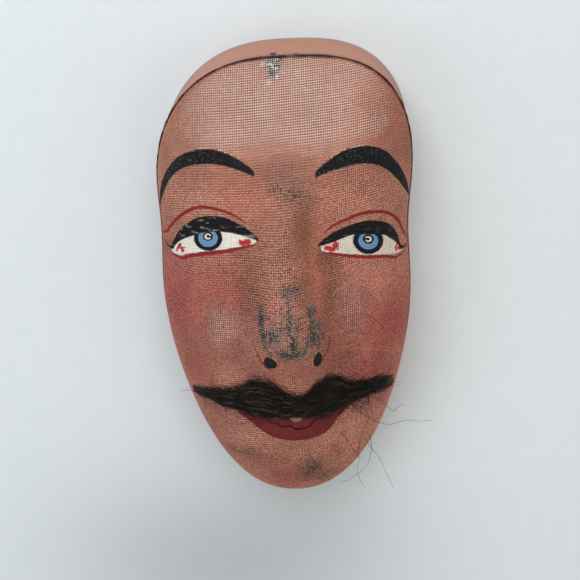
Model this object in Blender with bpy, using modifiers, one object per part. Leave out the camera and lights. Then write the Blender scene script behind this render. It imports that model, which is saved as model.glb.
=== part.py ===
"""A full-face mask of painted woven wire, lying on the back edge of its rim, face up.

The wire cloth is pressed over a form, so the face is one thin shell. A strip of sheet metal is bent
round its edge, and a moustache of loose black hair is fixed over the upper lip.
Units are metres. +X is the viewer's right, +Y runs up to the forehead, +Z is out of the face.
Run with: blender --background --python part.py
"""
from math import cos, pi, sin

import bmesh
import bpy
import numpy as np

MM = 0.001

# The rim's outline, measured from the middle of its widest line
HALF_WIDTH = 70.6 * MM
TOP_RISE = 83.6 * MM
CHIN_DROP = 167.5 * MM
TOP_SQUARENESS = 2.8
CHIN_SQUARENESS = 2.15
CHEEK_SWELL = 1.0 * MM
TEMPLE_PINCH = 3.3 * MM

# The strip of sheet metal round the edge
BAND_DEPTH = 34.0 * MM
BAND_WALL = 0.8 * MM
BAND_FLARE = 3.4 * MM

# The pressed wire cloth
CLOTH_THICKNESS = 1.0 * MM
CLOTH_TUCK = 5.0 * MM
TUCK_CLEARANCE = 0.3 * MM
DOME_HEIGHT = 48.0 * MM
NOSE_HEIGHT = 28.0 * MM
NOSE_TIP_WIDTH = 38.0 * MM
NOSE_ROOT_WIDTH = 21.0 * MM
WING_HEIGHT = 6.0 * MM
BROW_HEIGHT = 2.2 * MM
EYE_HOLLOW_DEPTH = 4.5 * MM
EYEBALL_HEIGHT = 1.6 * MM
CHEEK_HEIGHT = 4.0 * MM
MOUTH_HEIGHT = 5.0 * MM
UPPER_LIP_HEIGHT = 1.0 * MM
LOWER_LIP_HEIGHT = 1.8 * MM
LIP_CREASE_DEPTH = 1.5 * MM
CHIN_HEIGHT = 5.5 * MM

# The hair on the upper lip
HAIR_SPAN = 110.0 * MM
HAIR_HEIGHT = 20.0 * MM
HAIR_THICKNESS = 5.5 * MM
HAIR_TIP_THICKNESS = 1.6 * MM
HAIR_CLEARANCE = 0.4 * MM

# How finely the curved faces are divided
SIDES = 80
RINGS = 23
HAIR_SIDES = 12
HAIR_STATIONS = 30
CHIN_CROWDING = 0.35

# Colours, as linear red, green and blue
ROSE_PAINT = (0.36, 0.19, 0.15, 1.0)
BAND_PAINT = (0.46, 0.23, 0.17, 1.0)
BLACK_HAIR = (0.015, 0.011, 0.010, 1.0)

# The face is drawn in shares of the rim's outline. Each of these is a millimetre of the face as drawn:
# up the forehead, down to the chin, and across.
UP = TOP_RISE / 83.6
DOWN = CHIN_DROP / 167.5
ACROSS = HALF_WIDTH / 70.6

NOSE_ROOT_Y = 34.0 * UP
NOSE_TIP_Y = -58.0 * DOWN
NOSE_TURN_Y = NOSE_TIP_Y + 11.0 * DOWN
WING_Y = NOSE_TIP_Y - 8.0 * DOWN
NOSE_BASE_Y = NOSE_TIP_Y - 26.0 * DOWN
HAIR_Y = NOSE_BASE_Y - 7.5 * DOWN
MOUTH_Y = NOSE_BASE_Y - 20.0 * DOWN
CHIN_Y = -138.0 * DOWN


def smooth(start, end, value):
    """0 before start, 1 after end, and an easy slope between them."""
    t = np.clip((value - start) / (end - start), 0.0, 1.0)
    return t * t * (3.0 - 2.0 * t)


def mound(x, y, middle, reach, height):
    """A soft rise round a middle point, with its reach across and up."""
    across = (x - middle[0]) / reach[0]
    along = (y - middle[1]) / reach[1]
    return height * np.exp(-across * across - along * along)


def pair(x, y, middle, reach, height):
    """The same mound on both sides of the face."""
    return mound(x, y, middle, reach, height) + mound(x, y, (-middle[0], middle[1]), reach, height)


def lean(y):
    """How far the rim's middle line stands to the side: the old frame is a little out of true."""
    t = y / (100.0 * DOWN)
    return (-0.7 + 2.5 * t + 5.4 * t ** 2 + 2.2 * t ** 3) * ACROSS


def rim_radius(angle):
    """The rim's distance from the middle of its widest line."""
    across, up = np.cos(angle), np.sin(angle)
    height = np.where(up >= 0, TOP_RISE, CHIN_DROP)
    power = np.where(up >= 0, TOP_SQUARENESS, CHIN_SQUARENESS)
    radius = (np.abs(across / HALF_WIDTH) ** power + np.abs(up / height) ** power) ** (-1.0 / power)
    y = radius * up
    reach = 33.0 * DOWN
    swell = CHEEK_SWELL * np.exp(-((y + 73.0 * DOWN) / reach) ** 2)
    pinch = TEMPLE_PINCH * np.exp(-((y + 10.0 * DOWN) / reach) ** 2)
    return radius + (swell - pinch) * np.abs(across)


def rim_point(angle, inset=0.0):
    """A point of the rim's outline, or of one drawn inside it."""
    radius = rim_radius(angle) - inset
    x, y = radius * np.cos(angle), radius * np.sin(angle)
    return x + lean(y), y


def nose(x, y):
    """The nose's rise above the plain dome, with its wings."""
    run = np.clip((NOSE_ROOT_Y - y) / (NOSE_ROOT_Y - NOSE_TIP_Y), 0.0, 1.0)
    under = 1.0 - smooth(NOSE_TURN_Y, NOSE_BASE_Y, y)
    half = (NOSE_ROOT_WIDTH + (NOSE_TIP_WIDTH - NOSE_ROOT_WIDTH) * run ** 1.4) / 2.0
    ridge = NOSE_HEIGHT * run ** 1.6 * under * np.exp(-np.abs(x / half) ** 2.2)
    wing_at = (NOSE_TIP_WIDTH * 0.4, WING_Y)
    wings = pair(x, y, wing_at, (NOSE_TIP_WIDTH * 0.21, 10.0 * DOWN), WING_HEIGHT)
    return ridge + wings * (1.0 - smooth(WING_Y - 2.0 * DOWN, NOSE_BASE_Y, y))


def relief(x, y):
    """All that rises or sinks from the plain dome."""
    z = nose(x, y)
    z = z + pair(x, y, (30.0 * ACROSS, 37.0 * UP), (26.0 * ACROSS, 13.0 * UP), BROW_HEIGHT)
    z = z - pair(x, y, (31.0 * ACROSS, 4.0 * UP), (20.0 * ACROSS, 18.0 * UP), EYE_HOLLOW_DEPTH)
    z = z + pair(x, y, (35.0 * ACROSS, -4.0 * DOWN), (16.0 * ACROSS, 9.0 * DOWN), EYEBALL_HEIGHT)
    z = z + pair(x, y, (40.0 * ACROSS, -44.0 * DOWN), (22.0 * ACROSS, 24.0 * DOWN), CHEEK_HEIGHT)
    z = z + mound(x, y, (0.0, MOUTH_Y), (30.0 * ACROSS, 18.0 * DOWN), MOUTH_HEIGHT)
    z = z + mound(x, y, (0.0, MOUTH_Y + 2.5 * DOWN), (20.0 * ACROSS, 5.0 * DOWN), UPPER_LIP_HEIGHT)
    z = z + mound(x, y, (0.0, MOUTH_Y - 8.0 * DOWN), (17.0 * ACROSS, 6.0 * DOWN), LOWER_LIP_HEIGHT)
    z = z - mound(x, y, (0.0, MOUTH_Y - 19.0 * DOWN), (18.0 * ACROSS, 6.0 * DOWN), LIP_CREASE_DEPTH)
    return z + mound(x, y, (0.0, CHIN_Y), (22.0 * ACROSS, 14.0 * DOWN), CHIN_HEIGHT)


def face_height(x, y):
    """The cloth's outer surface above the rim's back edge."""
    radius = np.hypot(x - lean(y), y)
    angle = np.arctan2(y, x - lean(y))
    share = np.minimum(radius / (rim_radius(angle) - BAND_WALL - TUCK_CLEARANCE), 1.0)
    up = np.sin(angle)
    power = 2.35 - 0.3 * up
    root = 1.58 - 0.48 * np.clip(up, 0.0, 1.0) ** 1.5 + 0.62 * np.clip(-up, 0.0, 1.0) ** 2
    dome = DOME_HEIGHT * np.maximum(1.0 - share ** power, 0.0) ** (1.0 / root)
    return BAND_DEPTH + dome + relief(x, y) * (1.0 - smooth(0.72, 1.0, share))


def painted(name, colour, roughness, metallic=0.0):
    """A plain painted or natural surface."""
    material = bpy.data.materials.new(name)
    material.use_nodes = True
    shader = material.node_tree.nodes["Principled BSDF"]
    shader.inputs["Base Color"].default_value = colour
    shader.inputs["Roughness"].default_value = roughness
    shader.inputs["Metallic"].default_value = metallic
    material.diffuse_color = colour
    return material


def put_in(collection, parent, name, cage, material):
    """Make an object from a bmesh and hang it on the mask's empty."""
    mesh = bpy.data.meshes.new(name)
    cage.to_mesh(mesh)
    cage.free()
    mesh.materials.append(material)
    for polygon in mesh.polygons:
        polygon.use_smooth = True
    thing = bpy.data.objects.new(name, mesh)
    collection.objects.link(thing)
    thing.parent = parent
    return thing


def angles():
    """Directions round the rim, closer together at the far chin so that the sides stay even in length."""
    turns = [2.0 * pi * step / SIDES for step in range(SIDES)]
    return [turn - CHIN_CROWDING * cos(turn) for turn in turns]


def loop_of(cage, points):
    """A closed loop of edges through the points."""
    ring = bmesh.ops.create_circle(cage, segments=len(points), radius=HALF_WIDTH)["verts"]
    for vert, point in zip(ring, points):
        vert.co = point
    return ring


def ring_edges(ring):
    """The edges that join a ring's own points."""
    members = set(ring)
    return [edge for edge in {e for vert in ring for e in vert.link_edges}
            if edge.verts[0] in members and edge.verts[1] in members]


def grow(cage, ring, points):
    """Extrude a loop of edges to new places and give back the new loop, in the same order."""
    grown = bmesh.ops.extrude_edge_only(cage, edges=ring_edges(ring))["geom"]
    fresh = {item for item in grown if isinstance(item, bmesh.types.BMVert)}
    result = []
    for vert in ring:
        result.append(next(edge.other_vert(vert) for edge in vert.link_edges if edge.other_vert(vert) in fresh))
    for vert, point in zip(result, points):
        vert.co = point
    return result


def wire_face(collection, parent):
    """The pressed cloth: rings from the nose's tip out to the rim, then a tuck inside the band."""
    inset = BAND_WALL + TUCK_CLEARANCE
    edge = [rim_point(angle, inset) for angle in angles()]
    pole = (0.0, NOSE_TIP_Y)

    def ring_at(share):
        places = []
        for x, y in edge:
            px, py = pole[0] + share * (x - pole[0]), pole[1] + share * (y - pole[1])
            places.append((px, py, float(face_height(px, py))))
        return places

    cage = bmesh.new()
    shares = [(step / RINGS) * (1.3 - 0.3 * step / RINGS) for step in range(1, RINGS + 1)]
    ring = loop_of(cage, ring_at(shares[0]))
    middle = cage.verts.new((pole[0], pole[1], float(face_height(*pole))))
    for first, second in zip(ring, ring[1:] + ring[:1]):
        cage.faces.new((middle, first, second))
    for share in shares[1:]:
        ring = grow(cage, ring, ring_at(share))
    grow(cage, ring, [(x, y, BAND_DEPTH - CLOTH_TUCK) for x, y in edge])
    bmesh.ops.recalc_face_normals(cage, faces=cage.faces[:])

    face = put_in(collection, parent, "wire_mesh_face", cage, painted("rose_painted_wire", ROSE_PAINT, 0.55, 0.1))
    wall = face.modifiers.new("cloth_thickness", "SOLIDIFY")
    wall.thickness = CLOTH_THICKNESS
    wall.offset = -1.0
    wall.use_even_offset = True
    return face


def rim_band(collection, parent):
    """The strip of sheet metal: flat at the back, flared outward over the forehead."""

    def loop(depth, inset):
        flare = BAND_FLARE * (1.0 - depth / BAND_DEPTH)
        places = []
        for angle in angles():
            x, y = rim_point(angle, inset)
            places.append((x, y + flare * max(sin(angle), 0.0) ** 3, depth))
        return places

    cage = bmesh.new()
    outer_back = loop_of(cage, loop(0.0, 0.0))
    outer_front = grow(cage, outer_back, loop(BAND_DEPTH, 0.0))
    inner_front = grow(cage, outer_front, loop(BAND_DEPTH, BAND_WALL))
    inner_back = grow(cage, inner_front, loop(0.0, BAND_WALL))
    bmesh.ops.bridge_loops(cage, edges=ring_edges(inner_back) + ring_edges(outer_back))
    bmesh.ops.recalc_face_normals(cage, faces=cage.faces[:])
    band = put_in(collection, parent, "rim_band", cage, painted("band_paint", BAND_PAINT, 0.45, 0.1))
    band.data.set_sharp_from_angle(angle=pi / 5)
    return band


def hair_middle(x):
    """The moustache's middle line: low under the nose, high in its two lobes, low at the tips."""
    dip = 3.5 * DOWN * np.exp(-((x - 3.0 * ACROSS) / (7.0 * ACROSS)) ** 2)
    droop = smooth(0.27, 0.5, np.abs(x) / HAIR_SPAN) * np.where(x < 0, 5.0, 2.0) * DOWN
    return HAIR_Y - dip - droop


def moustache(collection, parent):
    """One plain body of hair, close over the upper lip, full in its lobes and drawn out to its tips."""
    cage = bmesh.new()
    bmesh.ops.create_uvsphere(cage, u_segments=HAIR_SIDES, v_segments=HAIR_STATIONS, radius=1.0)
    for vert in cage.verts:
        out, up, run = vert.co
        x = run * HAIR_SPAN / 2.0
        belly = max(1.0 - run * run, 1e-9) ** 0.5
        blunt = belly ** 0.3 / belly
        waist = 1.0 - 0.3 * np.exp(-(x / (6.0 * ACROSS)) ** 2)
        full = (1.0 - abs(run) ** 1.5) * waist
        tall = HAIR_TIP_THICKNESS + (HAIR_HEIGHT - HAIR_TIP_THICKNESS) * full
        thick = HAIR_TIP_THICKNESS + (HAIR_THICKNESS - HAIR_TIP_THICKNESS) * full
        y = float(hair_middle(x)) + up * blunt * tall / 2.0
        lift = HAIR_CLEARANCE + thick * (0.5 - 0.5 * out * blunt)
        vert.co = (x, y, float(face_height(x, y)) + lift)
    return put_in(collection, parent, "moustache", cage, painted("black_hair", BLACK_HAIR, 0.8))


def main():
    for thing in list(bpy.data.objects):
        bpy.data.objects.remove(thing, do_unlink=True)
    parts = bpy.data.collections.new("wire_mesh_mask")
    bpy.context.scene.collection.children.link(parts)

    back_edge = [rim_point(2.0 * pi * step / 720) for step in range(720)]
    across = [x for x, y in back_edge]
    up = [y for x, y in back_edge]
    middle_x = (max(across) + min(across)) / 2.0
    middle_y = (max(up) + BAND_FLARE + min(up)) / 2.0
    mask = bpy.data.objects.new("mask", None)
    mask.location = (-middle_x, -middle_y, 0.0)
    parts.objects.link(mask)

    wire_face(parts, mask)
    rim_band(parts, mask)
    moustache(parts, mask)


main()
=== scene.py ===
"""The looks of a painted wire mesh mask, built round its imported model.

The face is woven here wire by wire: a net of crossings is walked over the pressed form, each wire is a
tube that dips over and under the next, and paint fills some of the cells. The rim, the seam, the solder
and the moustache are pieces of their own.
"""
from math import cos, pi, radians, sin

import bmesh
import bpy
import numpy as np
from mathutils import Matrix, Vector


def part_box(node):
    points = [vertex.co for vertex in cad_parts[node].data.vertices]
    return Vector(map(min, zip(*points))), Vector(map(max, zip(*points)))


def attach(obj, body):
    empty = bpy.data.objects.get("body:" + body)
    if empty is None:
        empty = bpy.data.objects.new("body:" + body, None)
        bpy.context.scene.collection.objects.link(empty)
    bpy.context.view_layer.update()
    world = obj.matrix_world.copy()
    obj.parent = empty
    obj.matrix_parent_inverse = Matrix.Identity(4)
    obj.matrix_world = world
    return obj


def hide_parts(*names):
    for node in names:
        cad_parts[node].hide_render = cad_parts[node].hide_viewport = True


bl_info = {
    "name": "Painted wire mask",
    "version": (1, 0, 0),
    "blender": (4, 5, 0),
    "location": "3D View > Sidebar > Mask",
    "description": "Weaves, paints and dresses a full-face mask of wire cloth",
    "category": "Object",
}

MM = 0.001
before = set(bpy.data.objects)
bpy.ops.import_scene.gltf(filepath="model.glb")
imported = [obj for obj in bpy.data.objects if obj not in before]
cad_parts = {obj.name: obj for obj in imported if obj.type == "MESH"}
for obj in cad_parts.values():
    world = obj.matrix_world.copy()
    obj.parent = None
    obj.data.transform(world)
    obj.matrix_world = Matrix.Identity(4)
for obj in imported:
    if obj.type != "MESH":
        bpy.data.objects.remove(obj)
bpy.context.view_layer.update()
BAND_LOW, BAND_HIGH = (Vector(corner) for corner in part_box("rim_band"))


# The outline's drawn sizes in millimetres: the face's features are placed in these drawn millimetres
DRAWN_HALF, DRAWN_TOP, DRAWN_CHIN = 70.6, 83.6, 167.5


def size_prop(label, text, default):
    """A length property, shown in the scene's units."""
    return bpy.props.FloatProperty(name=label, description=text, default=default,
                                   subtype="DISTANCE", unit="LENGTH")


def colour_prop(label, text, default):
    """A colour property, as linear values."""
    return bpy.props.FloatVectorProperty(name=label, description=text, default=default,
                                         subtype="COLOR", size=3, min=0.0, max=1.0)


def count_prop(label, text, default, least, most):
    """A property that counts things."""
    return bpy.props.IntProperty(name=label, description=text, default=default, min=least, max=most)


class MaskForm(bpy.types.PropertyGroup):
    """The rim's outline and the pressed face."""

    half_width: size_prop("Half width", "Rim's middle to its side at the widest line", DRAWN_HALF * MM)
    top_rise: size_prop("Rise to the top", "Widest line to the top of the rim", DRAWN_TOP * MM)
    chin_drop: size_prop("Drop to the chin", "Widest line to the bottom of the rim", DRAWN_CHIN * MM)
    band_depth: size_prop("Band depth", "Depth of the sheet-metal rim", BAND_HIGH.z - BAND_LOW.z)
    band_flare: size_prop("Band flare", "How far the band's back edge stands out over the forehead", 3.4 * MM)
    dome: size_prop("Dome", "Height of the plain dome above the band", 48.0 * MM)
    nose: size_prop("Nose", "Height of the nose above the dome", 28.0 * MM)


class ClothSizes(bpy.types.PropertyGroup):
    """The woven wire."""

    across: size_prop("Pitch across", "Distance between upright wires", 1.165 * MM)
    down: size_prop("Pitch down", "Distance between cross wires", 1.42 * MM)
    cross_wire: size_prop("Painted cross wire", "Radius of a cross wire with its paint", 0.345 * MM)
    upright_wire: size_prop("Painted upright wire", "Radius of an upright wire with its paint", 0.3 * MM)
    sink: size_prop("Sink", "How far the upright wires lie under the cloth's middle", 0.07 * MM)
    crimp: size_prop("Crimp", "How far a wire lies over or under the cloth's middle", 0.19 * MM)
    film: size_prop("Film", "Thickness of the paint that fills a cell", 0.16 * MM)
    tuck: size_prop("Tuck", "How far the cloth goes down inside the band", 3.0 * MM)
    sides: count_prop("Sides", "Sides of a wire", 5, 3, 12)


class PaintColours(bpy.types.PropertyGroup):
    """The painter's colours, as linear values."""

    flesh: colour_prop("Flesh", "The forehead's pink", (0.46, 0.208, 0.145))
    # Laid toward the lower face and the sides, this browner pink is partly paint and partly painted shade
    shade: colour_prop("Shade", "The browner pink of the sides and the lower face", (0.50, 0.22, 0.155))
    orange: colour_prop("Orange", "Orange blush beside the brows and the nose", (0.52, 0.17, 0.10))
    rose: colour_prop("Rose", "The cheeks' blush", (0.42, 0.108, 0.089))
    # Brown paint that is partly painted shade beside the nose and at the sides
    brown: colour_prop("Brown", "Brown shading beside the nose and at the sides", (0.36, 0.145, 0.085))
    worn: colour_prop("Worn", "Grey where the paint is rubbed thin", (0.23, 0.18, 0.155))
    red: colour_prop("Red", "The drawn red lines", (0.25, 0.022, 0.024))
    blood: colour_prop("Blood red", "Small marks at the corners of the eyes", (0.45, 0.035, 0.04))
    lips: colour_prop("Lips", "The painted lips", (0.17, 0.026, 0.024))
    black: colour_prop("Black", "Brows and lids", (0.008, 0.008, 0.0095))
    white: colour_prop("White", "Whites of the eyes", (0.74, 0.70, 0.62))
    blue: colour_prop("Blue", "Irises", (0.155, 0.28, 0.44))
    wire: colour_prop("Bare wire", "Wire where the paint has gone", (0.09, 0.095, 0.09))
    band: colour_prop("Band", "The smooth pink of the rim", (0.47, 0.21, 0.135))
    metal: colour_prop("Rim metal", "Bare sheet at the rim's back edge", (0.36, 0.37, 0.38))
    hair: colour_prop("Hair", "The moustache", (0.007, 0.005, 0.0042))


class HairSizes(bpy.types.PropertyGroup):
    """The moustache."""

    span: size_prop("Span", "Tip to tip", 110.0 * MM)
    thickness: size_prop("Thickness", "How far it stands off the lip", 5.5 * MM)
    strand: size_prop("Strand", "Radius of one hair", 0.1 * MM)
    strands: count_prop("Strands", "Number of hairs", 2600, 10, 9000)


class StageSizes(bpy.types.PropertyGroup):
    """The floor, the lights and the camera."""

    floor: size_prop("Floor", "Side of the floor", 6.0)
    distance: size_prop("Camera distance", "Camera to the mask's middle", 0.75)
    # How strongly the card under the face glows: painted light seen through the open cells
    card: bpy.props.FloatProperty(name="Card", description="How bright the card under the face is",
                                  default=0.86, min=0.0)
    raised: bpy.props.FloatProperty(name="Raised", subtype="ANGLE", default=radians(20.0),
                                    description="Camera's turn from straight above to the forehead")


def settings(name):
    """One of the scene's property groups: form, cloth, paints, hair or stage."""
    return getattr(bpy.context.scene, "mask_" + name)


# The pressed form, as the solids have it


class Form:
    """The mask's surface in the frame's own metres."""

    WALL = 0.8 * MM
    CLEARANCE = 0.3 * MM

    def __init__(self):
        sizes = settings("form")
        self.half, self.top, self.chin = sizes.half_width, sizes.top_rise, sizes.chin_drop
        self.band, self.flare = sizes.band_depth, sizes.band_flare
        self.dome_rise, self.nose_rise = sizes.dome, sizes.nose
        # One drawn millimetre above the widest line, below it and across, in metres
        self.up, self.down, self.across = self.top / DRAWN_TOP, self.chin / DRAWN_CHIN, self.half / DRAWN_HALF
        self.middle = np.zeros(2)
        x, y = self.rim_point(np.linspace(0.0, 2.0 * pi, 720, endpoint=False))
        self.middle = np.array([(x.max() + x.min()) / 2.0, (y.max() + self.flare + y.min()) / 2.0])

    @staticmethod
    def smooth(start, end, value):
        """0 at start, 1 at end, with soft ends."""
        t = np.clip((value - start) / (end - start), 0.0, 1.0)
        return t * t * (3.0 - 2.0 * t)

    def lean(self, y):
        """How far the old rim's middle line has shifted to the side at each height."""
        t = y / (100.0 * self.down)
        return (-0.7 + 2.5 * t + 5.4 * t ** 2 + 2.2 * t ** 3) * self.across

    def rim_radius(self, angle):
        """The rim's outer edge: two half ovals, a little swollen at the cheeks and pinched at the temples."""
        across, up = np.cos(angle), np.sin(angle)
        height = np.where(up >= 0, self.top, self.chin)
        power = np.where(up >= 0, 2.8, 2.15)
        radius = (np.abs(across / self.half) ** power + np.abs(up / height) ** power) ** (-1.0 / power)
        y = radius * up
        swell = 1.0 * MM * np.exp(-((y + 73.0 * self.down) / (33.0 * self.down)) ** 2)
        pinch = 3.3 * MM * np.exp(-((y + 10.0 * self.down) / (33.0 * self.down)) ** 2)
        return radius + (swell - pinch) * np.abs(across)

    def cloth_radius(self, angle):
        """The cloth's edge, just inside the band."""
        return self.rim_radius(angle) - self.WALL - self.CLEARANCE

    def rim_point(self, angle, inset=0.0):
        """The place on the rim at an angle, in the frame."""
        radius = self.rim_radius(angle) - inset
        x, y = radius * np.cos(angle), radius * np.sin(angle)
        return x + self.lean(y) - self.middle[0], y - self.middle[1]

    @staticmethod
    def around(count):
        """Angles round the rim, closer together where it bends most."""
        angle = np.linspace(0.0, 2.0 * pi, count, endpoint=False)
        return angle - 0.35 * np.cos(angle)

    def angle_over(self, x):
        """The angle of the rim's top stretch that stands at x."""
        angles = np.linspace(2.2, 0.9, 200)
        return np.interp(x, self.rim_point(angles)[0], angles)

    def polar(self, x, y):
        """Distance and direction from the middle of the widest line."""
        y = y + self.middle[1]
        x = x + self.middle[0] - self.lean(y)
        return np.hypot(x, y), np.arctan2(y, x)

    def share(self, x, y):
        """How far out a place lies: 0 in the middle and 1 at the cloth's edge."""
        radius, angle = self.polar(x, y)
        return radius / self.cloth_radius(angle)

    @staticmethod
    def roundness(angle):
        """The dome's two powers: how flat its top is and how steep its sides are."""
        up = np.sin(angle)
        steep = 1.58 - 0.48 * np.clip(up, 0.0, 1.0) ** 1.5 + 0.62 * np.clip(-up, 0.0, 1.0) ** 2
        return 2.35 - 0.3 * up, steep

    def dome(self, x, y):
        """The plain dome above the band, with none of the face's features."""
        radius, angle = self.polar(x, y)
        share = np.minimum(radius / self.cloth_radius(angle), 1.0)
        flat, steep = self.roundness(angle)
        return self.band + self.dome_rise * np.maximum(1.0 - share ** flat, 0.0) ** (1.0 / steep), share

    def nose(self, x, y):
        """The pressed nose: a ridge that widens down to the tip, and two wings."""
        root, tip = 34.0 * self.up, -58.0 * self.down
        turn, base, wing = tip + 11.0 * self.down, tip - 26.0 * self.down, tip - 8.0 * self.down
        run = np.clip((root - y) / (root - tip), 0.0, 1.0)
        half = (10.5 + 8.5 * run ** 1.4) * MM
        ridge = self.nose_rise * run ** 1.6 * np.exp(-np.abs(x / half) ** 2.2)
        ridge = ridge * (1.0 - self.smooth(turn, base, y))
        wings = self.pair(x, y, (15.2 * MM, wing), (7.98 * MM, 10.0 * self.down), 6.0 * MM)
        return ridge + wings * (1.0 - self.smooth(wing - 2.0 * self.down, base, y))

    @staticmethod
    def mound(x, y, middle, reach, height):
        """A soft round swelling."""
        return height * np.exp(-((x - middle[0]) / reach[0]) ** 2 - ((y - middle[1]) / reach[1]) ** 2)

    def pair(self, x, y, middle, reach, height):
        """The same swelling on both sides of the face."""
        return (self.mound(x, y, middle, reach, height)
                + self.mound(x, y, (-middle[0], middle[1]), reach, height))

    def height(self, x, y):
        """The cloth's outer surface."""
        dome, share = self.dome(x, y)
        x, y = x + self.middle[0], y + self.middle[1]
        a, u, d = self.across, self.up, self.down
        base = -84.0 * d
        brows = self.pair(x, y, (30.0 * a, 37.0 * u), (26.0 * a, 13.0 * u), 2.2 * MM)
        sockets = self.pair(x, y, (31.0 * a, 4.0 * u), (20.0 * a, 18.0 * u), 4.5 * MM)
        eyes = self.pair(x, y, (35.0 * a, -4.0 * d), (16.0 * a, 9.0 * d), 1.6 * MM)
        cheeks = self.pair(x, y, (40.0 * a, -44.0 * d), (22.0 * a, 24.0 * d), 4.0 * MM)
        muzzle = self.mound(x, y, (0.0, base - 20.0 * d), (30.0 * a, 18.0 * d), 5.0 * MM)
        upper_lip = self.mound(x, y, (0.0, base - 17.5 * d), (20.0 * a, 5.0 * d), 1.0 * MM)
        lower_lip = self.mound(x, y, (0.0, base - 28.0 * d), (17.0 * a, 6.0 * d), 1.8 * MM)
        hollow = self.mound(x, y, (0.0, base - 39.0 * d), (18.0 * a, 6.0 * d), 1.5 * MM)
        chin = self.mound(x, y, (0.0, -138.0 * d), (22.0 * a, 14.0 * d), 5.5 * MM)
        lower = muzzle + upper_lip + lower_lip - hollow + chin
        features = self.nose(x, y) + brows - sockets + eyes + cheeks + lower
        return dome + features * (1.0 - self.smooth(0.72, 1.0, share))

    def cloth_point(self, x, y):
        """A point of the cloth: on the face, or past the rim and down inside the band."""
        share = self.share(x, y)
        radius, angle = self.polar(x, y)
        past = np.maximum(radius - radius / np.maximum(share, 1e-6), 0.0)
        edge_x, edge_y = self.rim_point(angle, self.WALL + self.CLEARANCE)
        inside = share <= 1.0
        px, py = np.where(inside, x, edge_x), np.where(inside, y, edge_y)
        z = np.where(inside, self.height(x, y), self.band - past)
        return np.stack([px, py, z], axis=-1), past


# The bare patch at the forehead's top in millimetres: half width, middle, foot, and the run to its full width
PATCH_HALF, PATCH_MIDDLE, PATCH_FOOT, PATCH_RUN = 4.1, -2.6, 113.0, 9.0
# Single holes in the paint round the patch
LONE_HOLES = ((-8.7, 120.4), (2.0, 116.4), (-5.3, 112.8))
# Open places on the inner cheeks in millimetres: x, y, reach across and up, and how far the cells open
OPEN_CHEEKS = ((-36.0, -12.0, 16.0, 28.0, 0.74), (36.0, -6.0, 15.0, 28.0, 0.7))
# Cells that are less open than this are closed by paint
OPEN_FROM = 0.36


def worn_patch(x, y):
    """1 where the paint has gone and the wires are bare, at the top of the forehead."""
    half = PATCH_HALF * MM * np.clip((y - PATCH_FOOT * MM) / (PATCH_RUN * MM), 0.0, 1.0) ** 0.5
    middle = PATCH_MIDDLE * MM + 0.3 * MM * np.sin(y / (1.3 * MM))
    ragged = 0.36 * MM * np.sin(y / (0.9 * MM) + 1.0)
    return (np.abs(x - middle) < half + ragged) & (y > (PATCH_FOOT + 0.4) * MM)


def soft_spot(x, y, middle_x, middle_y, reach_x, reach_y):
    """1 in the middle of a spot, fading to 0, with its place and reach in millimetres."""
    return np.exp(-((x / MM - middle_x) / reach_x) ** 2 - ((y / MM - middle_y) / reach_y) ** 2)


def along_line(x, points):
    """The height of a drawn line over each x, in millimetres."""
    return np.interp(x / MM, [p[0] for p in points], [p[1] for p in points])


def inside_lines(x, y, upper, lower, margin=0.5):
    """True between two drawn edges, given in millimetres, and a little past them."""
    first, last = max(upper[0][0], lower[0][0]), min(upper[-1][0], lower[-1][0])
    across = (x / MM > first) & (x / MM < last)
    return across & (y / MM < along_line(x, upper) + margin) & (y / MM > along_line(x, lower) - margin)


def open_share(x, y):
    """1 where the cells stand open, as on the forehead and inner cheeks, 0 where paint has closed them."""
    share = Form.smooth(65.0, 98.0, y / MM + 1.4 * np.sin(x / (9.0 * MM)))
    share = share * (1.0 - 0.5 * soft_spot(x, y, 6.0, 72.0, 14.0, 14.0))
    for *place, gain in OPEN_CHEEKS:
        share = np.maximum(share, gain * soft_spot(x, y, *place))
    share = share * (1.0 - 0.7 * Form.smooth(52.0 * MM, 66.0 * MM, np.abs(x)) * (y < 90.0 * MM))
    for upper, lower in (*LIDS_AND_BROWS, *WHITES, (LIPS_TOP, LIPS_BOTTOM)):
        share = np.where(inside_lines(x, y, upper, lower), 0.0, share)
    return share


# Small helpers for meshes


def plain_mesh(name, verts, edges=(), faces=()):
    """A mesh from plain lists of places, edges and faces."""
    mesh = bpy.data.meshes.new(name)
    mesh.from_pydata([tuple(map(float, v)) for v in verts], [tuple(map(int, e)) for e in edges],
                     [tuple(map(int, f)) for f in faces])
    mesh.update()
    return mesh


def give_attribute(mesh, name, kind, values):
    """Give every vertex a number or a vector under a name."""
    layer = mesh.attributes.new(name, kind, "POINT")
    field = "vector" if kind == "FLOAT_VECTOR" else "value"
    layer.data.foreach_set(field, np.asarray(values, dtype=np.float32).ravel())


def show(name, mesh, replaced=()):
    """Put a finished mesh in the scene as a piece that rides on the mask."""
    thing = bpy.data.objects.new(name, mesh)
    bpy.context.scene.collection.objects.link(thing)
    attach(thing, "root")
    if replaced:
        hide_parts(*replaced)


def cage_piece(name, cage, material, replaced=()):
    """Turn an edit cage into a smooth piece of one material."""
    mesh = bpy.data.meshes.new(name)
    cage.to_mesh(mesh)
    cage.free()
    mesh.materials.append(material)
    mesh.shade_smooth()
    show(name, mesh, replaced)


class Lines:
    """Lines being gathered, each with its number, its points and how thick it is along them."""

    def __init__(self):
        self.verts, self.edges, self.thick, self.place = [], [], [], []

    def add(self, number, points, thick):
        """Take one more line."""
        base, count = len(self.verts), len(points)
        self.verts.extend(points)
        self.edges.extend((base + k, base + k + 1) for k in range(count - 1))
        self.thick.extend(thick)
        self.place.extend((number, k, 0) for k in range(count))

    def tubes(self, name, radius, sides, material):
        """The gathered lines as tubes."""
        mesh = line_mesh(name + "_lines", self.verts, self.edges, self.thick, self.place)
        return tubes_from(name, mesh, radius, 0.0, sides, material)


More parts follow.
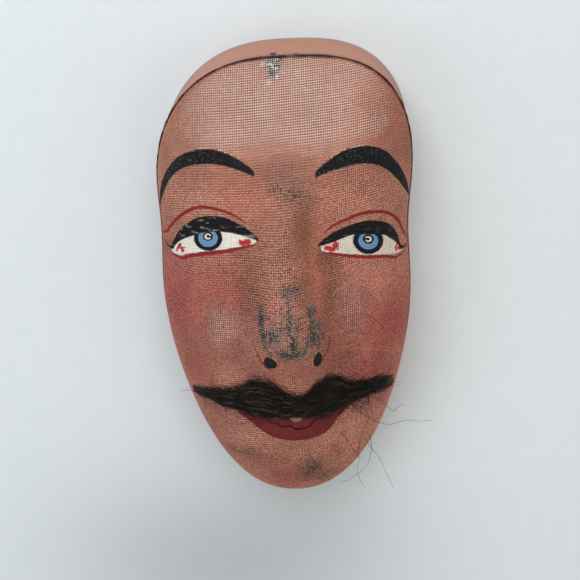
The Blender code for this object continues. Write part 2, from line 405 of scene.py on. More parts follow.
def line_mesh(name, verts, edges, thick, place, way=None):
    """A mesh of lines: each point's thickness, its place in the bake map, and the way its crimp goes."""
    mesh = plain_mesh(name, verts, edges=edges)
    give_attribute(mesh, "way_out", "FLOAT_VECTOR", np.zeros((len(verts), 3)) if way is None else way)
    give_attribute(mesh, "thickness", "FLOAT", thick)
    give_attribute(mesh, "net_place", "FLOAT_VECTOR", place)
    return mesh


class Nodes:
    """A node tree being written: one method adds any node, another feeds a socket."""

    def __init__(self, tree):
        self.tree = tree

    def add(self, kind, options=None, inputs=None):
        """Add a node, set its options first and then its sockets, and give back its outputs."""
        node = self.tree.nodes.new(kind)
        for key, value in (options or {}).items():
            setattr(node, key, value)
        for key, value in (inputs or {}).items():
            self.feed(node.inputs[key], value)
        return node.outputs

    def feed(self, socket, value):
        """Link another node's output to a socket, or set the socket; a plain colour gets its alpha."""
        if isinstance(value, Value):
            value = value.socket
        if isinstance(value, bpy.types.NodeSocket):
            self.tree.links.new(value, socket)
        elif socket.type == "RGBA":
            socket.default_value = (*value, 1.0)[:4]
        else:
            socket.default_value = value


def tube_tree():
    """Geometry Nodes that turn lines into tubes: each point's own thickness, crimp and direction."""
    name = "Wires from lines"
    if name in bpy.data.node_groups:
        return bpy.data.node_groups[name]
    tree = bpy.data.node_groups.new(name, "GeometryNodeTree")
    for label, kind in (("Lines", "Geometry"), ("Radius", "Float"), ("Crimp", "Float"), ("Sides", "Int"),
                        ("Material", "Material")):
        tree.interface.new_socket(label, in_out="INPUT", socket_type="NodeSocket" + kind)
    tree.interface.new_socket("Wires", in_out="OUTPUT", socket_type="NodeSocketGeometry")
    nodes = Nodes(tree)
    named = "GeometryNodeInputNamedAttribute"
    given = nodes.add("NodeGroupInput")
    way = nodes.add(named, {"data_type": "FLOAT_VECTOR"}, {"Name": "way_out"})["Attribute"]
    thick = nodes.add(named, {"data_type": "FLOAT"}, {"Name": "thickness"})["Attribute"]
    push = nodes.add("ShaderNodeVectorMath", {"operation": "SCALE"}, {0: way, "Scale": given["Crimp"]})
    moved = nodes.add("GeometryNodeSetPosition", inputs={"Geometry": given["Lines"], "Offset": push[0]})[0]
    curves = nodes.add("GeometryNodeMeshToCurve", inputs={"Mesh": moved})[0]
    radius = nodes.add("ShaderNodeMath", {"operation": "MULTIPLY"}, {0: thick, 1: given["Radius"]})[0]
    sized = nodes.add("GeometryNodeSetCurveRadius", inputs={"Curve": curves, "Radius": radius})[0]
    circle = {"Resolution": given["Sides"], "Radius": 1.0}
    ring = nodes.add("GeometryNodeCurvePrimitiveCircle", inputs=circle)[0]
    sweep = {"Curve": sized, "Profile Curve": ring, "Fill Caps": True}
    tubes = nodes.add("GeometryNodeCurveToMesh", inputs=sweep)[0]
    if "Scale" in tubes.node.inputs:
        nodes.feed(tubes.node.inputs["Scale"], radius)
    real = nodes.add("GeometryNodeRealizeInstances", inputs={"Geometry": tubes})[0]
    soft = nodes.add("GeometryNodeSetShadeSmooth", inputs={"Geometry": real})[0]
    painted = {"Geometry": soft, "Material": given["Material"]}
    nodes.add("NodeGroupOutput", inputs={"Wires": nodes.add("GeometryNodeSetMaterial", inputs=painted)[0]})
    return tree


def tubes_from(name, lines, radius, crimp, sides, material):
    """Run the tube tree on a mesh of lines and keep the result as a plain mesh, with its bake map."""
    holder = bpy.data.objects.new(name + "_lines", lines)
    bpy.context.scene.collection.objects.link(holder)
    modifier = holder.modifiers.new("wires", "NODES")
    modifier.node_group = tube_tree()
    values = {"Radius": radius, "Crimp": crimp, "Sides": sides, "Material": material}
    for socket in modifier.node_group.interface.items_tree:
        if socket.name in values and socket.in_out == "INPUT":
            modifier[socket.identifier] = values[socket.name]
    graph = bpy.context.evaluated_depsgraph_get()
    mesh = bpy.data.meshes.new_from_object(holder.evaluated_get(graph), depsgraph=graph)
    mesh.name = name
    bpy.data.objects.remove(holder, do_unlink=True)
    wrap_map(mesh, sides)
    return mesh


def wrap_map(mesh, sides):
    """A bake map from each tube's own place in the cloth: its strip of the width, unrolled round the tube."""
    margin = 0.06
    place = np.zeros(len(mesh.vertices) * 3, dtype=np.float32)
    mesh.attributes["net_place"].data.foreach_get("vector", place)
    place = place.reshape(-1, 3)
    across = max(float(place[:, 0].max()), 1.0)
    along = max(float(place[:, 1].max()), 1.0)
    corners = np.zeros(len(mesh.loops), dtype=np.int32)
    mesh.loops.foreach_get("vertex_index", corners)
    turn = corners % sides
    starts = np.zeros(len(mesh.polygons), dtype=np.int32)
    totals = np.zeros(len(mesh.polygons), dtype=np.int32)
    mesh.polygons.foreach_get("loop_start", starts)
    mesh.polygons.foreach_get("loop_total", totals)
    face_of = np.repeat(np.arange(len(starts)), totals)
    # A face that joins a tube's last side to its first ends its strip, where the turn would fall back to 0
    first = np.maximum.reduceat((turn == sides - 1).astype(int), starts)
    last = np.maximum.reduceat((turn == 0).astype(int), starts)
    wraps = (first & last).astype(bool) & (totals == 4)
    turn = np.where(wraps[face_of] & (turn == 0), sides, turn)
    u = (place[corners, 0] + margin + (1.0 - 2.0 * margin) * turn / sides) / (across + 1.0)
    v = (place[corners, 1] + 0.5) / (along + 1.0)
    layer = mesh.uv_layers.new(name="OFBake")
    layer.data.foreach_set("uv", np.stack([u, v], axis=-1).astype(np.float32).ravel())
    for spare in ("way_out", "thickness", "net_place"):
        if spare in mesh.attributes:
            mesh.attributes.remove(mesh.attributes[spare])


# Shader maths


class Value:
    """A number in a shader tree: arithmetic on it adds Math nodes."""

    def __init__(self, shader, socket):
        self.shader, self.socket = shader, socket

    def math(self, operation, *others):
        return self.shader.math(operation, self, *others)

    def __add__(self, other):
        return self.math("ADD", other)

    __radd__ = __add__

    def __mul__(self, other):
        return self.math("MULTIPLY", other)

    __rmul__ = __mul__

    def __sub__(self, other):
        return self.math("SUBTRACT", other)

    def __rsub__(self, other):
        return self.shader.math("SUBTRACT", other, self)

    def __truediv__(self, other):
        return self.math("DIVIDE", other)

    def __pow__(self, other):
        return self.math("POWER", other)

    def __neg__(self):
        return self * -1.0

    def __abs__(self):
        return self.math("ABSOLUTE")

    def most(self, other):
        return self.math("MAXIMUM", other)

    def least(self, other):
        return self.math("MINIMUM", other)

    def ease(self, start, end):
        """0 at start, 1 at end, with soft ends."""
        out = self.shader.add("ShaderNodeMapRange", {"interpolation_type": "SMOOTHSTEP"},
                              {0: self, 1: start, 2: end, 3: 0.0, 4: 1.0})
        return Value(self.shader, out["Result"])


class Tree(Nodes):
    """A shader tree being written: its methods say common things in short."""

    def __init__(self, tree):
        super().__init__(tree)
        self.place = self.add("ShaderNodeTexCoord")["Object"]
        parts = self.add("ShaderNodeSeparateXYZ", inputs={0: self.place})
        self.x, self.y, self.z = (Value(self, parts[axis]) * 1000.0 for axis in "XYZ")

    def use(self, group, inputs=None):
        """Add a group node and give back its outputs."""
        return self.add("ShaderNodeGroup", {"node_tree": group}, inputs)

    def math(self, operation, *values):
        return Value(self, self.add("ShaderNodeMath", {"operation": operation}, dict(enumerate(values)))[0])

    def noise(self, scale, detail=2.0, rough=0.5, spot=None, shift=0.0):
        """Noise from 0 to 1, with its scale in features to the metre."""
        place = self.place if spot is None else spot
        if shift:
            place = self.vector_math("ADD", place, (shift, shift, shift))
        out = self.add("ShaderNodeTexNoise", inputs={"Vector": place, "Scale": scale, "Detail": detail,
                                                     "Roughness": rough})
        return Value(self, out[0])

    def vector_math(self, operation, first, second):
        return self.add("ShaderNodeVectorMath", {"operation": operation}, {0: first, 1: second})[0]

    def mix(self, first, second, factor):
        """The first colour where the factor is 0, the second where it is 1."""
        options = {"data_type": "RGBA", "clamp_factor": True}
        return self.add("ShaderNodeMix", options, {0: factor, 6: first, 7: second})[2]

    def dim(self, colour, factor):
        """A colour times a number that varies."""
        grey = self.add("ShaderNodeCombineXYZ", inputs={0: factor, 1: factor, 2: factor})[0]
        return self.vector_math("MULTIPLY", colour, grey)

    def group_mask(self, group, values):
        """What a mask group gives for this place and the values that follow it."""
        return Value(self, self.use(group, dict(enumerate((self.x, self.y, *values))))[0])

    def spot(self, *sizes):
        """A soft round mask: its middle across and up and its reach across and up, in millimetres."""
        return self.group_mask(spot_group(), sizes)

    def leaf(self, middle, along, over, share=1.0, ragged=0.0):
        """1 inside a slanted oval given by its middle and the ends of two slanted half axes."""
        return self.group_mask(leaf_group(), (*middle, *along, *over, share, ragged))

    def line(self, points):
        """A height that follows drawn points from left to right."""
        lows, highs = [min(v) for v in zip(*points)], [max(v) for v in zip(*points)]
        wide, tall = highs[0] - lows[0], max(highs[1] - lows[1], 1e-3)
        t = (self.x - lows[0]) / wide
        out = self.add("ShaderNodeFloatCurve", inputs={1: t})
        node = out[0].node
        curve = node.mapping.curves[0]
        for count, (x, y) in enumerate(points):
            place = ((x - lows[0]) / wide, (y - lows[1]) / tall)
            if count == 0:
                curve.points[0].location = place
            elif count == len(points) - 1:
                curve.points[-1].location = place
            else:
                curve.points.new(*place)
        node.mapping.extend = "HORIZONTAL"
        node.mapping.update()
        return Value(self, out[0]) * tall + lows[1]

    def between(self, upper, lower, wobble, soft=0.35):
        """1 between two drawn edges, inside the stretch that both of them cover."""
        first = max(upper[0][0], lower[0][0])
        last = min(upper[-1][0], lower[-1][0])
        y = self.y + wobble
        mask = (y - self.line(lower)).ease(-soft, soft) * (self.line(upper) - y).ease(-soft, soft)
        return mask * (self.x - first).ease(-soft, soft) * (last - self.x).ease(-soft, soft)

    def stretch(self, across, up):
        """The object's coordinates, squeezed along x and y, for marks that run one way."""
        return self.vector_math("MULTIPLY", self.place, (across, up, 1.0))

    def bump(self, height, strength, distance):
        """A normal that follows a height."""
        inputs = {"Strength": strength, "Distance": distance, "Height": height}
        return self.add("ShaderNodeBump", inputs=inputs)[0]


class Shader(Tree):
    """A material: a tree that ends in the principled shader."""

    def __init__(self, name, gloss=0.2):
        self.material = bpy.data.materials.new(name)
        self.material.use_nodes = True
        self.principled = self.material.node_tree.nodes["Principled BSDF"]
        self.principled.inputs["Specular IOR Level"].default_value = gloss
        super().__init__(self.material.node_tree)

    def finish(self, colour, rough, metallic=None, normal=None):
        """Feed the principled shader and give back the material."""
        for key, value in (("Base Color", colour), ("Roughness", rough), ("Metallic", metallic),
                           ("Normal", normal)):
            if value is not None:
                self.feed(self.principled.inputs[key], value)
        return self.material


def new_group(name, inputs, outputs):
    """An empty shader group with number inputs, its tree, its input values and its output node."""
    group = bpy.data.node_groups.new(name, "ShaderNodeTree")
    for label in inputs:
        group.interface.new_socket(label, in_out="INPUT", socket_type="NodeSocketFloat")
    for label, kind in outputs:
        group.interface.new_socket(label, in_out="OUTPUT", socket_type=kind)
    tree = Tree(group)
    values = [Value(tree, socket) for socket in tree.add("NodeGroupInput")]
    return group, tree, values, group.nodes.new("NodeGroupOutput").inputs


def spot_group():
    """A round mask that fades outward as a bell curve."""
    name = "Soft spot"
    if name not in bpy.data.node_groups:
        labels = ("X", "Y", "Middle X", "Middle Y", "Reach X", "Reach Y")
        _, tree, values, ends = new_group(name, labels, (("Mask", "NodeSocketFloat"),))
        x, y, mx, my, rx, ry = values[:6]
        across, up = (x - mx) / rx, (y - my) / ry
        tree.feed(ends[0], tree.math("EXPONENT", -(across * across + up * up)))
    return bpy.data.node_groups[name]


def leaf_group():
    """A slanted oval with a crisp edge."""
    name = "Slanted oval"
    if name not in bpy.data.node_groups:
        labels = ("X", "Y", "Middle X", "Middle Y", "Along X", "Along Y", "Over X", "Over Y",
                  "Share", "Ragged")
        _, tree, values, ends = new_group(name, labels, (("Mask", "NodeSocketFloat"),))
        x, y, mx, my, ax, ay, ox, oy, share, ragged = values[:10]
        dx, dy = x - mx, y - my
        size = ax * oy - ox * ay
        u, v = (dx * oy - dy * ox) / size, (dy * ax - dx * ay) / size
        far = tree.math("SQRT", u * u + v * v) / share + ragged
        tree.feed(ends[0], (1.0 - far).ease(-0.05, 0.05))
    return bpy.data.node_groups[name]


# The drawn lines of the face: edges from left to right, in millimetres of the frame

LEFT_BROW = (((-68.6, 41), (-67.6, 47.6), (-65, 59.8), (-59, 71.4), (-50.9, 79), (-39.7, 82.9),
              (-30.8, 82.6), (-22.2, 79.6), (-13.4, 73.4)),
             ((-68.6, 40.5), (-67.2, 46), (-62.9, 57.4), (-57.1, 67.2), (-49.1, 73.2), (-39.8, 75.9),
              (-31, 76.2), (-22.4, 74.3), (-13.4, 70.9)))
RIGHT_BROW = (((17.4, 72.3), (24.9, 77.7), (33.5, 81.5), (43.8, 81.8), (52.5, 78.1), (59.6, 69.8),
               (64.2, 60.6), (67.1, 47.3), (68.2, 40)),
              ((17.4, 69.2), (24.7, 71.8), (33.3, 73.4), (41.8, 73.6), (50.5, 70.4), (57.6, 63.6),
               (63.2, 54.7), (66.9, 46.2), (68.2, 39)))
LEFT_LID = (((-66, 31), (-64.6, 28.2), (-62.2, 27.6), (-60.3, 29.9), (-58.5, 33.3), (-55.1, 38.7),
             (-49.7, 44), (-44, 47.5), (-37.2, 49), (-30.5, 48.9), (-24.7, 46.8), (-19.5, 44.5),
             (-12.6, 39.6)),
            ((-66, 30.6), (-64.6, 26.8), (-62.2, 25.9), (-60.5, 26.2), (-58.8, 28.7), (-55.4, 32.7),
             (-48, 37.3), (-40.2, 40.3), (-32.8, 41.2), (-26.3, 41), (-19.7, 39.9), (-12.6, 38.4)))
RIGHT_LID = (((17.6, 34.9), (21.8, 37.8), (26.4, 40.1), (32.3, 41.8), (38.1, 42.7), (42.7, 43),
              (48.7, 41.6), (53.4, 39.3), (56.8, 35.6), (59.6, 30), (62.4, 22.2), (64.2, 21.4),
              (65.9, 25)),
             ((17.6, 34), (23, 34.4), (29.5, 36), (36, 37), (43, 35.8), (49.9, 34),
              (52.6, 32.7), (55.3, 30.1), (58.1, 26.9), (59.9, 24.3), (62.3, 20.4), (64.2, 20.3),
              (65.9, 24.6)))
LEFT_WHITE = ((-61.3, 25.2), (-57.8, 24.7), (-52.1, 26.9), (-46.3, 28.9), (-35.9, 31.6), (-26.6, 33.4),
              (-18.9, 35.3), (-14, 37.4))
RIGHT_WHITE = ((18.9, 32.9), (20.3, 30.9), (28.6, 28.9), (37.7, 26.8), (50.3, 23.4), (59.4, 20.3),
               (62.6, 19.8))
LEFT_CREASE = ((-68, 31), (-64.4, 33.6), (-60.4, 39.2), (-54.5, 46.2), (-50, 49.9),
               (-45, 52.5), (-40.2, 53.5), (-34.9, 53), (-29.7, 52), (-24.5, 50), (-18.6, 46.4))
RIGHT_CREASE = ((20.6, 40.1), (26.5, 43.5), (33, 45.4), (39.6, 47), (46.1, 46.9), (52.8, 45.1),
                (56.2, 42.6), (59.7, 38.1), (62.6, 30.8), (65.4, 24))
LEFT_UNDER = ((-62, 25.4), (-58.3, 23.6), (-48.5, 27), (-39.3, 29.8), (-27.9, 32.2), (-14, 36.6))
RIGHT_UNDER = ((18.8, 31), (28.6, 28), (40.9, 24.9), (52.3, 21.8), (61.4, 18.2), (65.6, 20.4))
LIPS_TOP = ((-29.6, -60.9), (-20, -60), (-4.1, -60.6), (-1.4, -61.2), (2.6, -64.6), (7, -61.6),
            (12, -60.6), (20.9, -60), (33, -58))
LIPS_BOTTOM = ((-29.6, -61.2), (-20.8, -67.2), (-13.8, -73.1), (-4.9, -77.4), (4.1, -78.4),
               (13.2, -76.8), (20.6, -72.1), (25.3, -65.4), (33, -58.4))
MOUTH_LINE = ((-14, -64.4), (-7.9, -65.4), (-3.5, -67.4), (-0.8, -67), (2.7, -69.1), (8.1, -68.6),
              (11.8, -65.6), (15.4, -63.6), (21.5, -63.9))
LEFT_WING = ((-17.4, -10.4), (-16.9, -13.6), (-16.1, -17), (-14.6, -20.4), (-12.4, -23.9),
             (-10.1, -28.3), (-7.4, -32.6))
RIGHT_WING = ((15.6, -26.2), (17.8, -24.4), (20, -21.6), (21.5, -18), (22.6, -14), (22.9, -12.4))
MOUSTACHE_TOP = ((-54.2, -53.2), (-52.6, -52), (-48.2, -50.2), (-40.4, -48.2), (-30.5, -45.7),
                 (-25.8, -43.6), (-22.6, -41.2), (-17.2, -39.4), (-12.6, -40.5), (-6.9, -43.2),
                 (-1.3, -46.8), (3.3, -49.2), (6.8, -48.8), (11.5, -45.9), (15, -42.9),
                 (19.9, -40.5), (24.5, -39), (27.8, -40.6), (30.2, -43.4), (39.7, -45.2),
                 (46.8, -46.7), (51.8, -48), (54.9, -49.8), (56.4, -51.8))
MOUSTACHE_LOW = ((-54.2, -56.6), (-48.6, -55.6), (-43, -55.4), (-37.5, -57.2), (-31.1, -57),
                 (-25.2, -57.2), (-20.6, -58.2), (-13.5, -59.2), (-4.1, -58.6), (0.5, -58.7),
                 (8.7, -59.4), (15.7, -59.6), (22.8, -58.5), (27.4, -56.4), (29.9, -54.8),
                 (34.5, -55.4), (40.6, -55.2), (43.1, -54.2), (49.1, -55.4), (53.8, -57.2),
                 (56.4, -56.8))
LIDS_AND_BROWS = (LEFT_LID, RIGHT_LID, LEFT_BROW, RIGHT_BROW)
WHITES = ((LEFT_LID[1], LEFT_WHITE), (RIGHT_LID[1], RIGHT_WHITE))

# Slanted ovals, each a middle and the ends of two half axes: thin marks beside the whites, and the nostrils
CORNER_MARKS = (
    ((-56.6, 29), (-1.5, -3), (0.5, -0.25)), ((-54.9, 29.3), (0.4, -2.7), (0.5, 0.07)),
    ((-55, 29), (2.4, 0.9), (-0.15, 0.4)), ((-53.7, 28), (0.7, 0), (0, 0.8)),
    ((59.3, 24.6), (1, 1), (-0.5, 0.5)), ((60.4, 22.2), (0.9, -1.3), (0.6, 0.4)),
    ((58.6, 22.9), (0.5, -1.6), (0.5, 0.15)),
)
NOSTRILS = (((-8.8, -23.4), (2.95, -3.45), (1.55, 3.65)), ((15.6, -23.5), (1.95, 3.2), (-1.2, 3.5)))
# Rough red dabs at the corners of the eyes: middle, half width and half height
CORNER_DABS = (((-21, 36.6), 2.2, 1.7), ((-18.6, 37.3), 1.9, 1.5), ((22.6, 32.4), 1.9, 1.2),
               ((24.6, 31.4), 2.2, 1.2), ((26.8, 33), 1.7, 2.4))
# Irises: middle, two half axes, where the highlight opens, and the shares of blue, pupil and highlight
IRISES = (
    ((-39.4, 37.3), (7.8, 0.97), (0.1, 6.4), (1.8, -0.05), (0.68, 0.35, 0.24)),
    ((43.65, 32.3), (8.1, -2.1), (0.1, 6.7), (-1.6, 0.35), (0.65, 0.36, 0.22)),
)


def stroke(shader, points, width, wobble):
    """A drawn line that follows the points at any slope, full in the middle and thin at both ends."""
    soft, step = 0.3, 0.5
    height = shader.line(points)
    ahead = shader.line(tuple((x - step, y) for x, y in points))
    slope = (ahead - height) / step
    steep = shader.math("SQRT", slope * slope + 1.0)
    far = abs(shader.y + wobble - height) / steep
    first, last = points[0][0], points[-1][0]
    run = (shader.x - first) / (last - first)
    belly = (run * (1.0 - run) * 4.0).most(0.0) ** 0.4
    mask = (belly * (width / 2.0) - far).ease(-soft, soft)
    return mask * (shader.x - first).ease(-soft, soft) * (last - shader.x).ease(-soft, soft)


# Soft spots in millimetres: x, y, reach across and up, and strength. First the orange, rose and brown washes
ORANGE_BLUSH = ((-21, 60, 16, 15, 0.4), (24, 60, 16, 13, 0.25),
                (22, -88, 12, 8, 0.5), (54, 98, 16, 26, 0.5),
                (45, 56, 18, 10, 0.15), (17, 20, 9, 30, 0.75),
                (2, -30, 15, 9, 0.5), (-26, 12, 8, 10, 0.5),
                (-3, -100, 22, 12, 0.4))
ROSE_BLUSH = ((-58, 0, 19, 28, 1), (-54, -20, 12, 14, 0.6),
              (-38, 8, 20, 17, 0.75), (-30, -30, 14, 12, 0.45),
              (-50, -38, 14, 18, 0.75), (54, -16, 20, 24, 1),
              (34, -6, 16, 24, 0.8), (35, -26, 12, 12, 0.7),
              (44, -40, 18, 18, 0.95), (-6, -107, 8, 9, 0.9),
              (22, -28, 10, 10, 0.35))
# The brown wash is partly painted shade beside the nose, at the temples and round the mouth and chin
BROWN_SHADE = ((25, 8, 7, 24, 0.85), (12, 42, 7, 24, 0.6), (21, 30, 7, 9, 0.6),
               (-14, 25, 7, 22, 0.5), (62, 60, 14, 60, 0.2),
               (-66, 70, 9, 60, 0.4), (30, -20, 9, 14, 0.5),
               (10, -112, 22, 12, 0.5), (-14, -92, 30, 9, 0.35),
               (3, -84, 20, 4, 0.4))
# Where the flesh colour is laid over them again, partly as painted light, where painted shade darkens them,
# and where painted light lightens them
PALE_AND_PAINTED_LIGHT = ((-36, -52, 15, 10, 1), (40, -84, 10, 12, 0.6),
        (-30, -70, 12, 12, 0.8), (2, 12, 6, 50, 0.35), (-44, 60, 17, 11, 0.9),
        (46, 58, 15, 10, 0.9))
PAINTED_SHADE = ((2, 100, 52, 20, 0.42), (-48, 92, 17, 24, 0.5), (54, 92, 17, 26, 0.75),
        (36, -6, 13, 22, 0.85), (-36, -12, 13, 22, 0.8), (24, -14, 8, 12, 0.7),
        (-23, 2, 8, 24, 0.9), (-33, 0, 12, 22, 0.75), (-43, -24, 14, 16, 0.7),
        (23, 2, 7, 26, 0.8), (33, -4, 13, 22, 0.75), (10, 42, 6.5, 20, 0.95),
        (-4, -91, 34, 10, 0.35), (8, -100, 16, 13, 0.5),
        (-50, -22, 14, 14, 0.45), (-26, -18, 8, 12, 0.9),
        (31, -29, 10, 12, 0.9), (-42, -70, 14, 14, 0.4), (11, 16, 6.5, 14, 0.8),
        (21, 27, 8, 10, 1), (30, 4, 8, 14, 0.8))
LIT = ((-34, 58, 32, 12, 0.65), (32, 57, 34, 12, 0.4), (52, 10, 10, 14, 0.4),
       (-1, 24, 6, 18, 0.25), (-26, -80, 12, 9, 0.5), (30, -88, 18, 14, 0.45),
       (-2, -30, 10, 8, 0.4))
# Where the paint between the brows has gone brown and thin, and where it is dotted black
BROW_WASH = ((4, 68, 11, 10, 0.75), (9, 58, 7, 5, 0.5))
DOTS = ((-3, 63.6, 3.6, 2.6, 0.9), (2, 64, 3.6, 2.4, 0.8), (7.5, 61.8, 3.2, 2.8, 0.9),
        (11.5, 58.2, 2.8, 3.6, 0.8), (5, 72, 9, 9, 0.25))
# Where the nose, the brow and the chin are rubbed down to grey, and smooth grey streaks down the nose
RUBBED = ((-12.6, 0, 2.3, 7.5, 1.1), (-11.6, -8.5, 3.2, 7, 1), (-6.8, -7, 5.4, 6.4, 1),
          (2, 0, 2.2, 10, 0.85), (3.6, -11, 3, 10, 1), (2.4, 15, 6.5, 6, 0.7),
          (13.2, 2, 2.8, 6, 0.95), (14.2, -9, 5.4, 9.5, 0.95), (2, -16.2, 13.5, 4.6, 1),
          (0, 27, 4.2, 13, 0.5), (5, 62, 9, 4.5, 0.3), (9.5, -101, 8.5, 12, 0.85),
          (15, -109, 9, 7, 0.6), (-28, -90, 12, 6, 0.5), (41, 62, 5, 3.5, 0.4),
          (24, -92, 7, 8, 0.45), (-3, 118, 7.5, 5, 0.5), (0, -4, 13, 14, 0.58))
WORN_STREAKS = ((1.6, 3.4, 1.5, 5.2, 1), (2.6, -3.2, 1.4, 3.4, 0.9), (3.6, -11.5, 1.9, 6.5, 0.85),
                (2.2, 12, 1.3, 4, 0.7))
# Where paint has filled the cloth nearly smooth
FILLED = ((15, 24, 8.5, 28, 1), (2, -3, 13, 17, 0.6), (4, -96, 30, 22, 0.2),
          (0, -40, 28, 14, 0.15))

# Colours that the painter didn't choose: wear, dirt, painted glints and sheen, and painted shadow, as linear
# values
BROW_BROWN, STAIN, RUB_EDGE = (0.30, 0.185, 0.145), (0.16, 0.075, 0.055), (0.15, 0.10, 0.082)
WHITE_STREAK, AGED_WHITE, NOSTRIL = (0.36, 0.31, 0.25), (0.55, 0.44, 0.33), (0.016, 0.015, 0.016)
LID_PAINTED_SHEEN, BROW_GLINT = (0.24, 0.23, 0.185), (0.13, 0.13, 0.115)
CELL_SPECK_SHADE, CELL_BARE, WIRE_SPECK = (0.012, 0.010, 0.009), (0.05, 0.05, 0.05), (0.05, 0.045, 0.038)
BAND_SIDE, BAND_GRIME, BAND_WEAR = (0.30, 0.15, 0.11), (0.11, 0.05, 0.038), (0.10, 0.075, 0.06)
OLD_SHEET, RUST = (0.24, 0.235, 0.225), (0.17, 0.085, 0.045)
HAIR_BROWN_AND_SHEEN, HAIR_GREY_AND_SHEEN = (0.085, 0.062, 0.047), (0.20, 0.17, 0.14)
SEAM_GRIME_AND_SHADOW, TARNISH, SOLDER = (0.045, 0.013, 0.011), (0.05, 0.045, 0.04), (0.075, 0.085, 0.075)


def blots(shader, spots):
    """The strongest of several soft spots."""
    most = None
    for *place, strength in spots:
        mask = shader.spot(*place) * strength
        most = mask if most is None else most.most(mask)
    return most


class Canvas:
    """The painted face so far: its colour, and how far a drawn feature covers it."""

    def __init__(self, shader, colour):
        self.shader, self.colour = shader, colour
        self.drawn = shader.math("ADD", 0.0, 0.0)

    def wash(self, mask, paint):
        """Lay a colour over the face that isn't a drawn feature."""
        self.colour = self.shader.mix(self.colour, paint, mask)

    def lay(self, mask, paint):
        """Draw a feature in a colour."""
        self.wash(mask, paint)
        self.drawn = self.drawn.most(mask)


def blush_flesh(canvas, paints, broad):
    """The forehead's pink, the browner pink lower down, the washes, painted shade and light, and the paint's
    mottling.
    """
    shader = canvas.shader
    # Browner pink toward the lower face and the sides, most on the right: partly paint, partly painted shade
    canvas.wash((44.0 - shader.y).ease(-38.0, 50.0) * 0.8, paints.shade)
    canvas.wash((shader.x - 2.0).ease(26.0, 66.0) * 0.6, paints.shade)
    canvas.wash((-shader.x - 2.0).ease(38.0, 70.0) * 0.4, paints.shade)
    drift = (broad - 0.5) * 0.5
    # The brown wash among these is partly painted shade beside the nose and at the sides
    for paint, spots, loose in ((paints.orange, ORANGE_BLUSH, 0.4), (paints.rose, ROSE_BLUSH, 0.4),
                                (paints.brown, BROWN_SHADE, 0.3)):
        canvas.wash(blots(shader, spots) + drift * loose, paint)
    # The flesh colour laid over again, partly painted light between the brows and the eyes
    canvas.wash(blots(shader, PALE_AND_PAINTED_LIGHT) * 0.7, paints.flesh)
    grain = shader.noise(1250.0, 1.0, 0.5, shift=1.9).ease(0.34, 0.66) - 0.5
    mottle = grain * (0.36 + 0.34 * (80.0 - shader.y).ease(0.0, 22.0)) + (broad - 0.5) * 0.26 + 1.0
    # Painted shade darkens the sides of the nose, the inner cheeks and the forehead's top; painted light
    # lightens other places
    light = (1.0 - 0.4 * blots(shader, PAINTED_SHADE)) * (1.0 + 0.4 * blots(shader, LIT))
    canvas.colour = shader.dim(canvas.colour, mottle * light)
    canvas.wash(blots(shader, BROW_WASH) * 0.65, BROW_BROWN)
    stain = shader.noise(75.0, 4.0, 0.7, shift=3.1).ease(0.5, 0.75)
    canvas.wash(stain * (1.0 - (shader.y - 20.0).ease(0.0, 50.0) * 0.6) * 0.4, STAIN)


def rub_down(canvas, paints, rubbed, dots, streak, fine):
    """Turn the paint grey where it is rubbed thin, and give the mask of the specks that it has lost."""
    shader = canvas.shader
    chips = shader.add("ShaderNodeTexVoronoi", inputs={"Vector": shader.place, "Scale": 1050.0})["Color"]
    cell = Value(shader, shader.add("ShaderNodeSeparateXYZ", inputs={0: chips})[0])
    chance = (rubbed ** 1.2 * 0.8).most(dots * 0.42)
    specks = (cell + chance + (streak - 0.5) * 0.5 * rubbed - 1.0).ease(-0.02, 0.03)
    canvas.wash(rubbed.ease(0.05, 0.6) * streak.ease(0.25, 0.7) * 0.5, RUB_EDGE)
    thin = (rubbed * 1.3 + streak * 0.9 + fine * 0.3 - 1.15).ease(0.0, 0.35) * 0.6
    grey = thin.most(blots(shader, WORN_STREAKS).ease(0.3, 0.75))
    canvas.wash(grey * (0.3 + 0.7 * (shader.y + 60.0).ease(-12.0, 12.0)), paints.worn)
    flecks = shader.noise(720.0, 2.0, 0.5, shift=2.3).ease(0.70, 0.74)
    return specks.most(flecks * 0.8)


def draw_eyes(canvas, paints, wobble, streak, fine):
    """The whites with their brush streaks, the creases over the lids, the red corners and the irises."""
    shader = canvas.shader
    for upper, lower in WHITES:
        canvas.lay(shader.between(upper, lower, wobble * 0.5), paints.white)
    brushed = shader.noise(300.0, 2.0, 0.5, spot=shader.stretch(0.35, 1.6), shift=4.0)
    canvas.wash(canvas.drawn * brushed.ease(0.55, 0.8) * 0.5, WHITE_STREAK)
    canvas.wash(canvas.drawn * shader.x.ease(0.0, 30.0) * 0.45, AGED_WHITE)
    for crease in (LEFT_CREASE, RIGHT_CREASE):
        canvas.lay(stroke(shader, crease, 1.9, wobble * 0.7), paints.red)
    for middle, along, over in CORNER_MARKS:
        canvas.lay(shader.leaf(middle, along, over, ragged=(fine - 0.5) * 0.6), paints.blood)
    rough = (fine - 0.5) * 2.2 + (streak - 0.5) * 0.8
    for middle, wide, tall in CORNER_DABS:
        canvas.lay(shader.leaf(middle, (wide, 0.0), (0.0, tall), ragged=rough), paints.blood)
    uneven = (fine - 0.5) * 0.12
    for middle, along, over, slit, (iris, pupil, highlight) in IRISES:
        above = (middle[0] + 0.15 * over[0], middle[1] + 0.15 * over[1])
        canvas.lay(shader.leaf(middle, along, over, 1.0, uneven), paints.black)
        canvas.lay(shader.leaf(middle, along, over, iris, uneven), paints.blue)
        canvas.lay(shader.leaf(above, along, over, pupil, uneven), paints.black)
        glint = shader.leaf(above, along, over, highlight, uneven * 2.0)
        hole = shader.leaf((above[0] + 0.1 * slit[0], above[1]), along, over, highlight * 0.5)
        opening = shader.leaf((above[0] + slit[0], above[1] + slit[1]), (1.6, 0.0), (0.0, 0.5))
        canvas.lay(glint * (1.0 - hole.most(opening)), paints.white)


